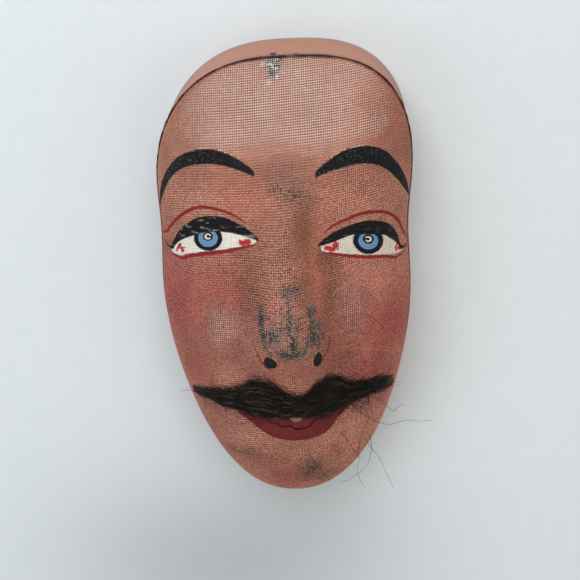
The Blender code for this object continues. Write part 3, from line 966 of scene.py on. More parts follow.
def draw_lids_and_brows(canvas, paints, wobble, broad):
    """Thick black lids and brows: streaks of painted sheen on the lids, most on the left, and painted glints
    on the brows.
    """
    shader = canvas.shader
    thick = shader.math("ADD", 0.0, 0.0)
    for upper, lower in LIDS_AND_BROWS:
        mask = shader.between(upper, lower, wobble * 0.7)
        thick = thick.most(mask)
        canvas.lay(mask, paints.black)
    lids = (52.0 - shader.y).ease(0.0, 1.0) * thick
    # Painted sheen: light streaks laid along the lids, most on the left
    sheen_streaks = shader.noise(340.0, 3.0, 0.65, spot=shader.stretch(0.22, 1.5), shift=5.0).ease(0.56, 0.70)
    canvas.wash(sheen_streaks * lids * (0.2 + 0.8 * (-shader.x).ease(0.0, 10.0)), LID_PAINTED_SHEEN)
    # Painted glints: light specks laid on the brows
    glints = shader.noise(1150.0, 1.0, 0.5, shift=8.0).ease(0.60, 0.70) * (thick - lids)
    canvas.wash(glints * broad.ease(0.35, 0.6) * 0.8, BROW_GLINT)


def draw_lower_lines(canvas, paints, wobble, fine):
    """The red lines under the eyes and round the nose, the lips with their dark line, and the nostrils."""
    shader = canvas.shader
    for under, width in ((LEFT_UNDER, 2.0), (RIGHT_UNDER, 1.7)):
        canvas.lay(stroke(shader, under, width, wobble * 0.7), paints.red)
    for wing in (LEFT_WING, RIGHT_WING):
        canvas.lay(stroke(shader, wing, 1.15, wobble * 0.5) * 0.9, paints.red)
    canvas.lay(shader.between(LIPS_TOP, LIPS_BOTTOM, wobble), paints.lips)
    canvas.lay(stroke(shader, MOUTH_LINE, 1.2, wobble), tuple(0.2 * part for part in paints.lips))
    for middle, along, over in NOSTRILS:
        canvas.lay(shader.leaf(middle, along, over, 1.0, (fine - 0.5) * 0.2), NOSTRIL)


def bare_wire(shader, streak, rubbed):
    """Where the wires are bare: the patch at the top of the forehead, and tiny chips."""
    half = ((shader.y - PATCH_FOOT) / PATCH_RUN).least(1.0).most(0.0) ** 0.5 * PATCH_HALF
    patch = (half - abs(shader.x - PATCH_MIDDLE) + (streak - 0.5) * 1.8).ease(-0.2, 0.5)
    chips = (shader.noise(1400.0, 2.0, 0.5, shift=6.0) + rubbed * 0.25).ease(0.82, 0.9)
    return (patch * (shader.y - PATCH_FOOT - 0.2).ease(0.0, 0.6)).most(chips * 0.6)


def face_group(paints):
    """The painted face as a node group: flesh, blush, painted shade and light, drawn features and wear.

    Gives the colour, how far the wire is bare, where the paint has gone in specks, the drawn features, where
    paint has filled the cloth smooth, the fine mottling, and how far a speck goes through the wires' paint.
    """
    name = "Painted face"
    if name in bpy.data.node_groups:
        return bpy.data.node_groups[name]
    masks = ("Bare", "Specks", "Drawn", "Smooth", "Fine", "Scuff")
    sockets = [("Colour", "NodeSocketColor")] + [(label, "NodeSocketFloat") for label in masks]
    group, shader, _, ends = new_group(name, (), sockets)
    fine = shader.noise(900.0, 3.0)
    broad = shader.noise(45.0, 3.0, shift=0.3)
    streak = shader.noise(230.0, 2.0, 0.6, spot=shader.stretch(1.0, 0.4), shift=1.1)
    wobble = shader.noise(420.0, 2.0, shift=0.7) - 0.5
    rubbed, dots = blots(shader, RUBBED), blots(shader, DOTS)

    canvas = Canvas(shader, paints.flesh)
    blush_flesh(canvas, paints, broad)
    specks = rub_down(canvas, paints, rubbed, dots, streak, fine)
    draw_eyes(canvas, paints, wobble, streak, fine)
    draw_lids_and_brows(canvas, paints, wobble, broad)
    draw_lower_lines(canvas, paints, wobble, fine)

    drawn = canvas.drawn
    bare = bare_wire(shader, streak, rubbed) * (1.0 - drawn)
    smooth = drawn.most(blots(shader, FILLED))
    scuff = (0.22 + rubbed * rubbed * 0.72).most(dots.ease(0.1, 0.4) * 0.85)
    gone = specks * (1.0 - drawn * 0.93)
    for end, value in zip(ends, (canvas.colour, bare, gone, drawn, smooth, fine, scuff)):
        shader.feed(end, value)
    return group


def cloth_paint(paints, film):
    """The paint on the wires, or the film of it that closes a cell, darkened there by painted shade."""
    shader = Shader("painted_film" if film else "painted_wire", gloss=0.12)
    face = shader.use(face_group(paints))
    colour = face[0]
    bare, specks, drawn, smooth, fine, scuff = (Value(shader, face[at]) for at in range(1, 7))
    if film:
        # Painted shade: the film is darkened as the shadowed pits and the dark inside behind them, partly
        # grime; smooth paint stays lighter
        deep = shader.noise(800.0, 1.0, 0.5, shift=7.0).ease(0.3, 0.7)
        colour = shader.dim(colour, 0.11 + deep * 0.4 + smooth * 0.5)
        # Specks where the paint is gone are painted near black, as the shade in the open pits
        colour = shader.mix(colour, CELL_SPECK_SHADE, specks)
        colour = shader.mix(colour, CELL_BARE, bare)
    else:
        colour = shader.mix(colour, WIRE_SPECK, specks * scuff)
        colour = shader.mix(colour, paints.wire, bare)
    rough = 0.5 + 0.16 * fine - drawn * 0.14 - bare * 0.1
    return shader.finish(colour, rough, metallic=bare * 0.75, normal=shader.bump(fine, 0.25, 0.08 * MM))


def band_paint(paints):
    """Smooth pink paint over sheet metal, with specks, a bare back edge and grime at the seam."""
    shader = Shader("band_paint")
    broad = shader.noise(26.0, 3.0)
    fine = shader.noise(420.0, 4.0, 0.6)
    colour = shader.dim(paints.band, 0.8 + 0.24 * broad + 0.14 * fine)
    colour = shader.mix(colour, BAND_SIDE, abs(shader.x).ease(36.0, 74.0) * 0.55)
    grime = (shader.z - 28.0 + (fine - 0.5) * 5.0).ease(1.0, 6.5)
    colour = shader.mix(colour, BAND_GRIME, grime * 0.55)
    specks = shader.noise(760.0, 1.5, 0.5, shift=1.7).ease(0.715, 0.75)
    scuffs = (shader.noise(120.0, 4.0, 0.75, shift=0.9) * 0.8 + fine * 0.3).ease(0.735, 0.775)
    worn = specks.most(scuffs * 0.8)
    edge = (1.5 + (fine - 0.5) * 3.6 + (broad - 0.5) * 3.0 - shader.z).ease(-0.25, 0.3)
    colour = shader.mix(colour, BAND_WEAR, worn * 0.8)
    colour = shader.mix(colour, paints.metal, edge)
    rough = 0.36 + 0.18 * fine + edge * 0.02
    height = fine * 0.5 + broad + edge * -0.6
    return shader.finish(colour, rough, metallic=edge * 0.85, normal=shader.bump(height, 0.35, 0.25 * MM))


def inner_metal(paints):
    """The band's inner side: dull sheet with pink drips over it."""
    shader = Shader("inner_sheet")
    fine = shader.noise(300.0, 4.0, 0.65)
    broad = shader.noise(38.0, 3.0, shift=0.4)
    colour = shader.dim(OLD_SHEET, 0.7 + 0.5 * fine)
    colour = shader.mix(colour, RUST, broad.ease(0.52, 0.68) * 0.7)
    drips = (shader.z / (BAND_HIGH.z / MM) + (broad - 0.5) * 1.6).ease(0.62, 0.9)
    colour = shader.mix(colour, paints.band, drips * 0.8)
    return shader.finish(colour, 0.5 + 0.2 * fine, metallic=(1.0 - drips) * 0.6,
                         normal=shader.bump(fine, 0.3, 0.2 * MM))


def dark_metal(name, colour, shine):
    """Grimy solder or cut wire."""
    shader = Shader(name)
    fine = shader.noise(900.0, 4.0, 0.6)
    tone = shader.dim(colour, 0.55 + 0.9 * fine)
    return shader.finish(tone, 0.42 + 0.3 * fine, metallic=fine.ease(0.4, 0.7) * shine,
                         normal=shader.bump(fine, 0.5, 0.2 * MM))


def hair_finish(paints, by_strand):
    """Coarse black hair with a brown cast and painted sheen; loose strands differ from one another."""
    shader = Shader("black_hair_strands" if by_strand else "black_hair_heart", gloss=0.16)
    clump = shader.noise(160.0, 3.0)
    fine = shader.noise(1500.0, 2.0, shift=0.6)
    # Lighter brown and grey in clumps and in some strands: partly the hair's own colour, partly painted sheen
    light = (clump * 0.7 + fine * 0.5).ease(0.5, 0.85) * 0.5
    if by_strand:
        # Each strand has its own strip of the bake map, so the map's place across tells one from another
        wrapped = shader.add("ShaderNodeUVMap", {"uv_map": "OFBake"})[0]
        across = Value(shader, shader.add("ShaderNodeSeparateXYZ", inputs={0: wrapped})[0])
        number = shader.math("FLOOR", across * (settings("hair").strands + 1.0))
        white = shader.add("ShaderNodeTexWhiteNoise", {"noise_dimensions": "1D"}, {"W": number})[0]
        chance = Value(shader, white)
        light = light * 0.2 + chance.ease(0.6, 0.9) * 0.15 + chance.ease(0.92, 0.94) * 0.95
    colour = shader.mix(paints.hair, HAIR_BROWN_AND_SHEEN, light)
    colour = shader.mix(colour, HAIR_GREY_AND_SHEEN, light - 0.8)
    return shader.finish(colour, 0.36 + 0.22 * fine, normal=shader.bump(fine, 0.3, 0.1 * MM))


# The woven cloth


def row_starts(form, cloth):
    """Where each cross wire passes the middle, in steps that the pressing has crowded or drawn apart."""
    below, above = 34.0 * MM, 40.0 * MM
    rim_low, rim_top = form.rim_point(np.array([-pi / 2, pi / 2]))[1]
    fine = np.linspace(rim_low - below, rim_top + above, 6000)
    level = form.dome(np.zeros_like(fine), fine)[0]
    # Crowded over the eyes and the cheeks, drawn apart at the top
    crowd = 0.905 + 0.095 * form.smooth(38.0, 62.0, fine / MM) + 0.1 * form.smooth(88.0, 112.0, fine / MM)
    crowd = crowd + 0.095 * form.smooth(-30.0, -60.0, fine / MM)
    run = np.concatenate([[0.0], np.cumsum(np.hypot(np.diff(fine), np.diff(level)) / crowd[1:])])
    return np.interp(np.arange(int(run[-1] / cloth.down)) * cloth.down, run, fine)


def cloth_net(form, cloth):
    """Walk the net of crossings over the plain dome: equal steps along each cross wire, out from the middle.

    The rows droop to both sides, as they do on the pressed cloth, so the columns fan out to the forehead.
    Gives each crossing's place, the way out of the surface there, how far past the rim it lies, and its plan.
    """
    half_run, bend_run, probe, steps = 118.0 * MM, 68.0 * MM, 0.15 * MM, 4
    starts = row_starts(form, cloth)
    rows, columns = len(starts), int(half_run / cloth.across)
    stride = cloth.across / steps
    tilt = 0.075 + 0.18 * form.smooth(-60.0, -105.0, starts / MM)
    droop = 0.36 * form.smooth(35.0, 95.0, starts / MM)
    plan = np.zeros((rows, 2 * columns + 1, 2))
    for side in (-1.0, 1.0):
        x, y, walked = np.zeros(rows), starts.copy(), 0.0
        for column in range(columns + 1):
            plan[:, columns + int(side) * column] = np.stack([x, y], axis=-1)
            for _ in range(steps):
                level = form.dome(x, y)[0]
                slope_x = (form.dome(x + side * probe, y)[0] - level) / (side * probe)
                slope_y = (form.dome(x, y + probe)[0] - level) / probe
                bent = droop * (walked / bend_run) ** 4.5 * (1.0 if side < 0 else 0.6)
                fall = np.clip(side * tilt - bent, -0.75, 0.5)
                # The step across that makes the whole step on the slope one stride long
                a = 1.0 + slope_x ** 2
                b = 2.0 * slope_x * slope_y * fall
                c = (1.0 + slope_y ** 2) * fall ** 2 - 1.0
                root = np.sqrt(np.maximum(b * b - 4.0 * a * c, 0.0))
                x, y = x + (-b + side * root) / (2.0 * a) * stride, y + fall * stride
                walked += stride
    places, past = form.cloth_point(plan[..., 0], plan[..., 1])
    way = np.cross(np.gradient(places, axis=1), np.gradient(places, axis=0))
    way /= np.maximum(np.linalg.norm(way, axis=-1, keepdims=True), 1e-12)
    return places, way, past, plan


def wire_lines(name, places, way, thick, kept, by_row, turn):
    """The lines of the wires that run one way, as a mesh of edges with what the tube tree reads."""

    def both_ends(grid):
        return (grid[:, :-1], grid[:, 1:]) if by_row else (grid[:-1], grid[1:])

    start, end = both_ends(kept)
    joined = start & end
    touched = np.zeros_like(kept)
    for part in both_ends(touched):
        part |= joined
    number = np.full(kept.shape, -1)
    number[touched] = np.arange(touched.sum())
    edges = np.stack([part[joined] for part in both_ends(number)], axis=-1)
    i, j = np.nonzero(touched)
    sign = np.where((i + j) % 2 == turn, 1.0, -1.0)
    strip, run = (i, j) if by_row else (j, i)
    place = np.stack([strip - strip.min(), run - run.min(), np.zeros_like(run)], axis=-1)
    return line_mesh(name, places[touched], edges, thick[touched], place, way[touched] * sign[:, None])


def film_mesh(name, places, way, filled, film):
    """Thin closed plates of paint, one sheet for all the filled cells that touch, with a bake map."""
    rows, columns = filled.shape
    corner = np.zeros((rows + 1, columns + 1), dtype=bool)
    for di in (0, 1):
        for dj in (0, 1):
            corner[di:di + rows, dj:dj + columns] |= filled
    number = np.full(corner.shape, -1)
    number[corner] = np.arange(corner.sum())
    count = int(corner.sum())
    base, out = places[:rows + 1, :columns + 1][corner], way[:rows + 1, :columns + 1][corner]
    i, j = np.nonzero(corner)
    verts = np.concatenate([base + out * film * 0.5, base - out * film * 0.5])
    a, b = number[:-1, :-1][filled], number[:-1, 1:][filled]
    c, d = number[1:, 1:][filled], number[1:, :-1][filled]
    top = np.stack([a, d, c, b], axis=-1)
    faces = [top, top[:, ::-1] + count]
    padded = np.pad(filled, 1)
    # The four sides of a cell: the step to its neighbour there, and the side's two corners
    sides = (((0, -1), (0, 0), (1, 0)), ((1, 0), (1, 0), (1, 1)),
             ((0, 1), (1, 1), (0, 1)), ((-1, 0), (0, 1), (0, 0)))
    ends = []
    for (di, dj), first, second in sides:
        open_side = filled & ~padded[1 + di:1 + di + rows, 1 + dj:1 + dj + columns]
        p = number[first[0]:first[0] + rows, first[1]:first[1] + columns][open_side]
        q = number[second[0]:second[0] + rows, second[1]:second[1] + columns][open_side]
        faces.append(np.stack([q, p, p + count, q + count], axis=-1))
        ends.append((len(p), (dj, di)))
    every = np.concatenate(faces)
    mesh = plain_mesh(name, verts, faces=every)
    # The outer side fills the map's left half and the inner side its right half; edges lie between the cells
    cell_wide, cell_tall, edge = 0.48 / (columns + 2.0), 1.0 / (rows + 2.0), 0.35
    place = np.stack([np.tile(j, 2) * cell_wide, np.tile(i, 2) * cell_tall], axis=-1)
    flat = place[every.ravel()].reshape(-1, 4, 2)
    flat[len(top):2 * len(top), :, 0] += 0.5
    at = 2 * len(top)
    for amount, (du, dv) in ends:
        flat[at:at + amount, 2:, 0] += edge * du * cell_wide
        flat[at:at + amount, 2:, 1] += edge * dv * cell_tall
        at += amount
    layer = mesh.uv_layers.new(name="OFBake")
    layer.data.foreach_set("uv", flat.astype(np.float32).ravel())
    return mesh


def hem_net(form, tuck):
    """The cloth's turned-down edge at the lower right, as a net from inside the band up the steep wall."""
    under = 0.15 * MM
    angle = np.radians(np.linspace(-100.0, -8.0, 150))
    flat, steep = form.roundness(angle)
    rings = []
    for rise in (-tuck, 0.0, 1.0 * MM, 2.0 * MM, 3.5 * MM, 5.0 * MM, 6.5 * MM):
        share = (1.0 - (max(rise, 0.0) / form.dome_rise) ** steep) ** (1.0 / flat)
        x, y = form.rim_point(angle, form.rim_radius(angle) - share * form.cloth_radius(angle) + under)
        rings.append(np.stack([x, y, np.full_like(x, form.band + rise)], axis=-1))
    places = np.stack(rings)
    way = np.cross(np.gradient(places, axis=1), np.gradient(places, axis=0))
    return places, way / np.linalg.norm(way, axis=-1, keepdims=True)


def coat_share(form, x, y, bare, rng):
    """How thick the painted wires are at each crossing, as a share of their radius."""
    thinnest = 0.72
    uneven = 1.0 + 0.07 * rng.standard_normal(x.shape)
    uneven = uneven * (1.0 + 0.05 * np.sin(x / (6.0 * MM)) * np.sin(y / (5.0 * MM)))
    clear = open_share(x, y)
    coat = 1.0 + 0.68 * form.smooth(0.12, OPEN_FROM, clear) - 0.48 * form.smooth(OPEN_FROM, 0.85, clear)
    coat = coat - 0.07 * form.smooth(98.0, 114.0, y / MM)
    torn = 1.05 + 0.25 * rng.standard_normal(x.shape)
    thick = np.where(bare, np.clip(torn, thinnest, 1.5), np.clip(uneven, 0.87, 1.13) * coat)
    for hole in LONE_HOLES:
        thick = np.where(soft_spot(x, y, *hole, 0.9, 0.9) > 0.4, thinnest, thick)
    return thick


class MASK_OT_weave(bpy.types.Operator):
    """Weave the face from wires and close its painted cells."""

    bl_idname = "mask.weave"
    bl_label = "Weave the face"

    def execute(self, context):
        form, cloth, paints = Form(), settings("cloth"), settings("paints")
        rng = np.random.default_rng(7)
        places, way, past, plan = cloth_net(form, cloth)
        x, y = plan[..., 0], plan[..., 1]
        kept = past <= cloth.tuck
        bare = worn_patch(x, y)
        thick = coat_share(form, x, y, bare, rng)
        wire = cloth_paint(paints, film=False)
        # Two halves each way, so that each piece stays under 200,000 triangles
        middle_row, middle_column = kept.shape[0] // 2, kept.shape[1] // 2
        every = slice(0, None)
        pieces = (("cross_wires_chin", True, slice(0, middle_row), every),
                  ("cross_wires_forehead", True, slice(middle_row, None), every),
                  ("upright_wires_left", False, every, slice(0, middle_column)),
                  ("upright_wires_right", False, every, slice(middle_column, None)))
        for name, by_row, down, over in pieces:
            radius = cloth.cross_wire if by_row else cloth.upright_wire
            sink, lost = (0.0, 0.07) if by_row else (cloth.sink, 0.05)
            # An upright wire goes over where a cross wire goes under, whichever piece the crossing is in
            turn = (int(not by_row) - down.start - over.start) % 2
            left_over = (kept & ~(bare & (rng.random(kept.shape) < lost)))[down, over]
            out = way[down, over]
            sunk = places[down, over] - out * sink
            lines = wire_lines(name, sunk, out, thick[down, over], left_over, by_row, turn)
            mesh = tubes_from(name, lines, radius, cloth.crimp, cloth.sides, wire)
            show(name, mesh, ("wire_mesh_face",) if name == "cross_wires_chin" else ())

        whole = kept[:-1, :-1] & kept[1:, :-1] & kept[1:, 1:] & kept[:-1, 1:]
        cell_x, cell_y = (x[:-1, :-1] + x[1:, 1:]) / 2.0, (y[:-1, :-1] + y[1:, 1:]) / 2.0
        ragged = 0.025 * rng.standard_normal(whole.shape)
        filled = whole & (open_share(cell_x, cell_y) + ragged < OPEN_FROM) & ~worn_patch(cell_x, cell_y)
        mesh = film_mesh("paint_in_the_cells", places, way, filled, cloth.film)
        mesh.materials.append(cloth_paint(paints, film=True))
        show("paint_in_the_cells", mesh)

        places, way = hem_net(form, cloth.tuck)
        daubed = np.ones((places.shape[0] - 1, places.shape[1] - 1), dtype=bool)
        mesh = film_mesh("daubed_hem", places, way, daubed, cloth.film)
        mesh.materials.append(wire)
        mesh.shade_smooth()
        show("daubed_hem", mesh)
        return {"FINISHED"}


class MASK_OT_band(bpy.types.Operator):
    """Bend the sheet-metal rim, with its dents and its thin back edge."""

    bl_idname = "mask.band"
    bl_label = "Make the rim band"

    def execute(self, context):
        form, paints = Form(), settings("paints")
        around, levels, wall = 420, 9, 0.55 * MM
        angle = form.around(around)
        depths = np.linspace(0.0, 1.0, levels) ** 0.9 * form.band
        rings = []
        for inset, order in ((0.0, depths), (wall, depths[::-1])):
            x, y = form.rim_point(angle, inset)
            for depth in order:
                share = depth / form.band
                flare = form.flare * (1.0 - share) * np.maximum(np.sin(angle), 0.0) ** 3
                dent = 0.28 * MM * np.sin(5.0 * angle + 0.6 * np.sin(3.0 * angle)) * np.sin(pi * share)
                dent = (dent + 0.12 * MM * np.sin(17.0 * angle + 9.0 * share)) * np.sin(pi * share)
                ring = (x + np.cos(angle) * dent, y + flare + np.sin(angle) * dent, np.full(around, depth))
                rings.append(np.stack(ring, axis=-1))
        verts = np.concatenate(rings)
        step = np.arange(around)
        after = (step + 1) % around
        faces = []
        for ring in range(len(rings)):
            here, there = ring * around, (ring + 1) % len(rings) * around
            faces.append(np.stack([here + step, here + after, there + after, there + step], axis=-1))
        mesh = plain_mesh("rim_sheet", verts, faces=np.concatenate(faces))
        mesh.materials.append(band_paint(paints))
        mesh.materials.append(inner_metal(paints))
        inner = np.zeros(len(mesh.polygons), dtype=np.int32)
        inner[levels * around:(2 * levels - 1) * around] = 1
        mesh.polygons.foreach_set("material_index", inner)
        mesh.shade_smooth()
        mesh.set_sharp_from_angle(angle=pi / 4)
        show("painted_rim", mesh, ("rim_band",))
        return {"FINISHED"}


class MASK_OT_seam(bpy.types.Operator):
    """Lay the dark seam of grime and painted shadow, the cut wire ends and the solder where the cloth meets
    the band.
    """

    bl_idname = "mask.seam"
    bl_label = "Make the seam"

    def execute(self, context):
        form, cloth = Form(), settings("cloth")
        rng = np.random.default_rng(11)
        seam, cut_end, count = 0.37 * MM, 0.2 * MM, 900
        angle = form.around(count)
        rough = np.convolve(np.tile(rng.standard_normal(count), 3), np.ones(5) / 5.0, "same")[count:2 * count]
        x, y = form.rim_point(angle, 0.2 * MM)
        ring = np.stack([x, y, form.band + 0.05 * MM + 0.2 * MM * rough], axis=-1)
        heavy = 0.2 + 0.8 * form.smooth(0.1, 0.75, np.sin(angle))
        edges = [(k, (k + 1) % count) for k in range(count)]
        place = np.stack([np.zeros(count), np.arange(count), np.zeros(count)], axis=-1)
        lines = line_mesh("seam_line", ring, edges, np.clip(1.0 + 0.6 * rough, 0.45, 1.9) * heavy, place)
        # The dark seam is partly grime and partly painted shadow of the gap between the cloth and the band
        mesh = tubes_from("seam_grime_and_shadow", lines, seam, 0.0, 6, dark_metal("seam_grime_and_shadow", SEAM_GRIME_AND_SHADOW, 0.1))
        show("seam_grime_and_shadow", mesh)

        ends = Lines()
        for number, at in enumerate(np.arange(-15.0 * MM, 29.0 * MM, cloth.across)):
            angle = form.angle_over(at)
            reach = rng.uniform(0.9, 2.3) * MM
            sway = rng.uniform(-0.35, 0.35) * MM
            points = []
            for step, (inset, height) in enumerate(((1.7 * MM, 1.5 * MM), (0.5 * MM, 0.45 * MM),
                                                    (-0.28 * MM, -reach * 0.4), (-0.32 * MM, -reach))):
                x, y = form.rim_point(angle, inset)
                points.append((x + sway * step / 3.0, y, form.band + height))
            ends.add(number, points, [1.0] * len(points))
        mesh = ends.tubes("cut_wire_ends", cut_end, 5, dark_metal("cut_wire", TARNISH, 0.7))
        show("cut_wire_ends", mesh)

        solder = dark_metal("solder", SOLDER, 0.8)
        for name, at, (wide, deep, tall), down in (("solder_blob", -3.1, (1.75, 0.9, 2.4), 4.6),
                                                   ("solder_spot", 8.9, (1.2, 0.6, 1.2), 2.4)):
            x, y = form.rim_point(form.angle_over(at * MM), -0.1 * MM)
            cage = bmesh.new()
            bmesh.ops.create_icosphere(cage, subdivisions=4, radius=1.0)
            for vert in cage.verts:
                out = vert.co
                lump = 1.0 + 0.12 * sin(5.0 * out.x + 2.0) * cos(6.0 * out.z) + 0.08 * sin(9.0 * out.z)
                size = Vector((out.x * wide * lump, out.y * deep * lump, out.z * tall * lump - down))
                vert.co = Vector((x, y, form.band)) + size * MM
            cage_piece(name, cage, solder)
        return {"FINISHED"}


# The moustache

# Loose hairs, as points in millimetres of the frame: from the moustache out over the cheek and past the chin
LOOSE_HAIRS = (
    ((33.0, -59.0, 73.0), (43.0, -72.0, 63.5), (52.8, -80.0, 55.0), (59.0, -82.0, 48.0),
     (64.6, -82.9, 44.0), (71.5, -84.7, 42.0), (79.0, -85.3, 40.0)),
    ((45.0, -58.0, 62.0), (55.4, -73.6, 50.0), (58.4, -74.3, 46.0), (62.0, -73.8, 42.0)),
    ((50.0, -55.0, 58.0), (55.7, -58.7, 49.0), (60.3, -61.1, 45.0)),
    ((52.0, -53.5, 56.0), (57.0, -56.5, 50.0), (61.5, -57.0, 47.5)),
    ((40.0, -88.0, 56.5), (44.5, -101.0, 45.0), (47.8, -109.2, 36.0), (52.5, -126.0, 24.0),
     (57.0, -141.0, 15.0)),
    ((42.5, -84.0, 57.5), (43.5, -94.0, 50.0), (43.4, -104.0, 41.0), (41.8, -115.6, 32.0),
     (38.3, -123.9, 26.0), (35.4, -127.9, 22.0), (29.4, -133.8, 18.0), (25.2, -136.1, 16.0)),
    ((32.6, -58.4, 72.8), (37.8, -62.3, 68.6), (41.1, -67.4, 64.4), (41.8, -72.1, 62.2),
     (39.5, -77.7, 61.8), (37.2, -86.5, 59.5), (36.2, -97.2, 53.7), (36.4, -108.5, 43.0),
     (35.6, -119.7, 32.0), (36.8, -130.9, 22.0), (39.2, -140.3, 14.0)),
    ((26.0, -75.5, 71.3), (30.3, -84.3, 65.3), (34.0, -95.2, 57.2), (37.0, -104.0, 48.5)),
    ((38.4, -60.5, 68.7), (41.9, -66.2, 64.4), (44.9, -71.6, 59.8)),
    ((-52.0, -57.5, 55.5), (-57.0, -57.0, 52.0), (-62.4, -59.6, 47.0)),
    ((-35.3, -56.4, 71.4), (-36.0, -60.5, 70.3), (-35.6, -65.0, 69.0)),
    ((-20.0, -60.0, 78.0), (-24.0, -66.0, 76.5), (-31.0, -69.0, 73.0), (-37.0, -68.0, 69.5)),
)

# How far the hair hangs toward the chin for each millimetre that it stands off the lip
HAIR_SAG = 0.36
# Where the hairs' tips end to the left and the right
HAIR_TIPS = (-54.5 * MM, 56.5 * MM)


def through(points, count):
    """A smooth curve through given points, evenly stepped in its own parameter."""
    points = np.asarray(points, dtype=float)
    ghost = np.concatenate([[2 * points[0] - points[1]], points, [2 * points[-1] - points[-2]]])
    t = np.linspace(0.0, len(points) - 1.0, count)
    k = np.minimum(t.astype(int), len(points) - 2)
    f = (t - k)[:, None]
    p0, p1, p2, p3 = ghost[k], ghost[k + 1], ghost[k + 2], ghost[k + 3]
    return 0.5 * (2 * p1 + (p2 - p0) * f + (2 * p0 - 5 * p1 + 4 * p2 - p3) * f ** 2
                  + (3 * p1 - p0 - 3 * p2 + p3) * f ** 3)


def hair_edges(x):
    """The moustache's lower and upper edge over each x, in metres."""
    return along_line(x, MOUSTACHE_LOW) * MM, along_line(x, MOUSTACHE_TOP) * MM


def hair_depth(hair, x):
    """How far the moustache stands off the lip."""
    thin = 1.4 * MM
    run = np.clip(np.abs(x) / (hair.span / 2.0), 0.0, 1.0)
    waist = 1.0 - 0.3 * np.exp(-((x - 3.5 * MM) / (6.0 * MM)) ** 2)
    return thin + (hair.thickness - thin) * (1.0 - run ** 1.5) * waist


def strand_lines(form, hair):
    """Every hair of the moustache: most lie outward along it, tangled, and some fray from its edges."""
    rng = np.random.default_rng(23)
    hairs = Lines()
    t = np.linspace(0.0, 1.0, 9)
    for number in range(hair.strands):
        side = 1.0 if rng.random() < 0.5 else -1.0
        start = min(abs(rng.normal(0.0, 0.46)), rng.uniform(0.6, 0.93))
        level, depth = rng.uniform(0.0, 1.0), rng.random() ** 0.6
        length = rng.uniform(6.0, 22.0) * MM * (1.0 - 0.3 * start)
        spread = rng.normal(0.0, 0.3) * (1.0 - 1.2 * abs(level - 0.5))
        if rng.random() > 0.87:
            spread += rng.uniform(0.1, 0.45) * np.sign(level - 0.5)
        wave, phase, speed = rng.uniform(0.15, 1.3) * MM, rng.uniform(0.0, 2.0 * pi), rng.uniform(3.0, 12.0)
        backward = -1.0 if rng.random() < 0.22 else 1.0
        x = side * (start + backward * t * length / (hair.span / 2.0)) * hair.span / 2.0 + 1.5 * MM
        x = np.clip(x, *HAIR_TIPS)
        low, top = hair_edges(x)
        share = level + spread * t ** 1.4
        y = low + (top - low) * share + wave * np.sin(speed * t + phase)
        bulge = np.sqrt(np.clip(1.0 - (2.0 * share - 1.0) ** 2 * 0.8, 0.05, 1.0))
        lift = 0.4 * MM + hair_depth(hair, x) * (0.2 + 0.85 * depth * bulge)
        y = y - HAIR_SAG * lift
        z = form.height(x, y) + lift + 0.45 * wave * np.sin(1.3 * speed * t + 2.0 * phase)
        taper = np.interp(t, [0.0, 0.5, 1.0], [1.0, 1.0, 0.45])
        hairs.add(number, np.stack([x, y, z], axis=-1), taper * rng.uniform(0.7, 1.3))
    return hairs


def hanging_hairs(form):
    """Fine hairs that have come loose and hang over the lip and the cheeks, as points in millimetres."""
    rng = np.random.default_rng(31)
    routes = []
    steps = 6
    for number in range(90):
        right = number % 3 != 0
        x = rng.uniform(16.0, 52.0) if right else rng.uniform(-52.0, -18.0)
        y = hair_edges(np.array(x * MM))[0] / MM + rng.uniform(0.0, 5.0)
        aim = rng.normal(-1.45 if right else -1.75, 0.5)
        bend, length = rng.normal(0.0, 0.75), rng.uniform(6.0, 19.0) * (1.0 if right else 0.7)
        points = []
        for k in range(steps):
            turn = aim + bend * k / (steps - 1.0)
            points.append((x, y))
            x, y = x + cos(turn) * length / (steps - 1.0), y + sin(turn) * length / (steps - 1.0)
        across, up = np.array(points).T * MM
        if (form.share(across, up) < 0.97).all():
            lift = (0.6 + rng.uniform(0.3, 2.6) * np.sin(np.linspace(0.3, pi, steps))) * MM
            routes.append(np.column_stack([across, up, form.height(across, up) + lift]) / MM)
    return routes


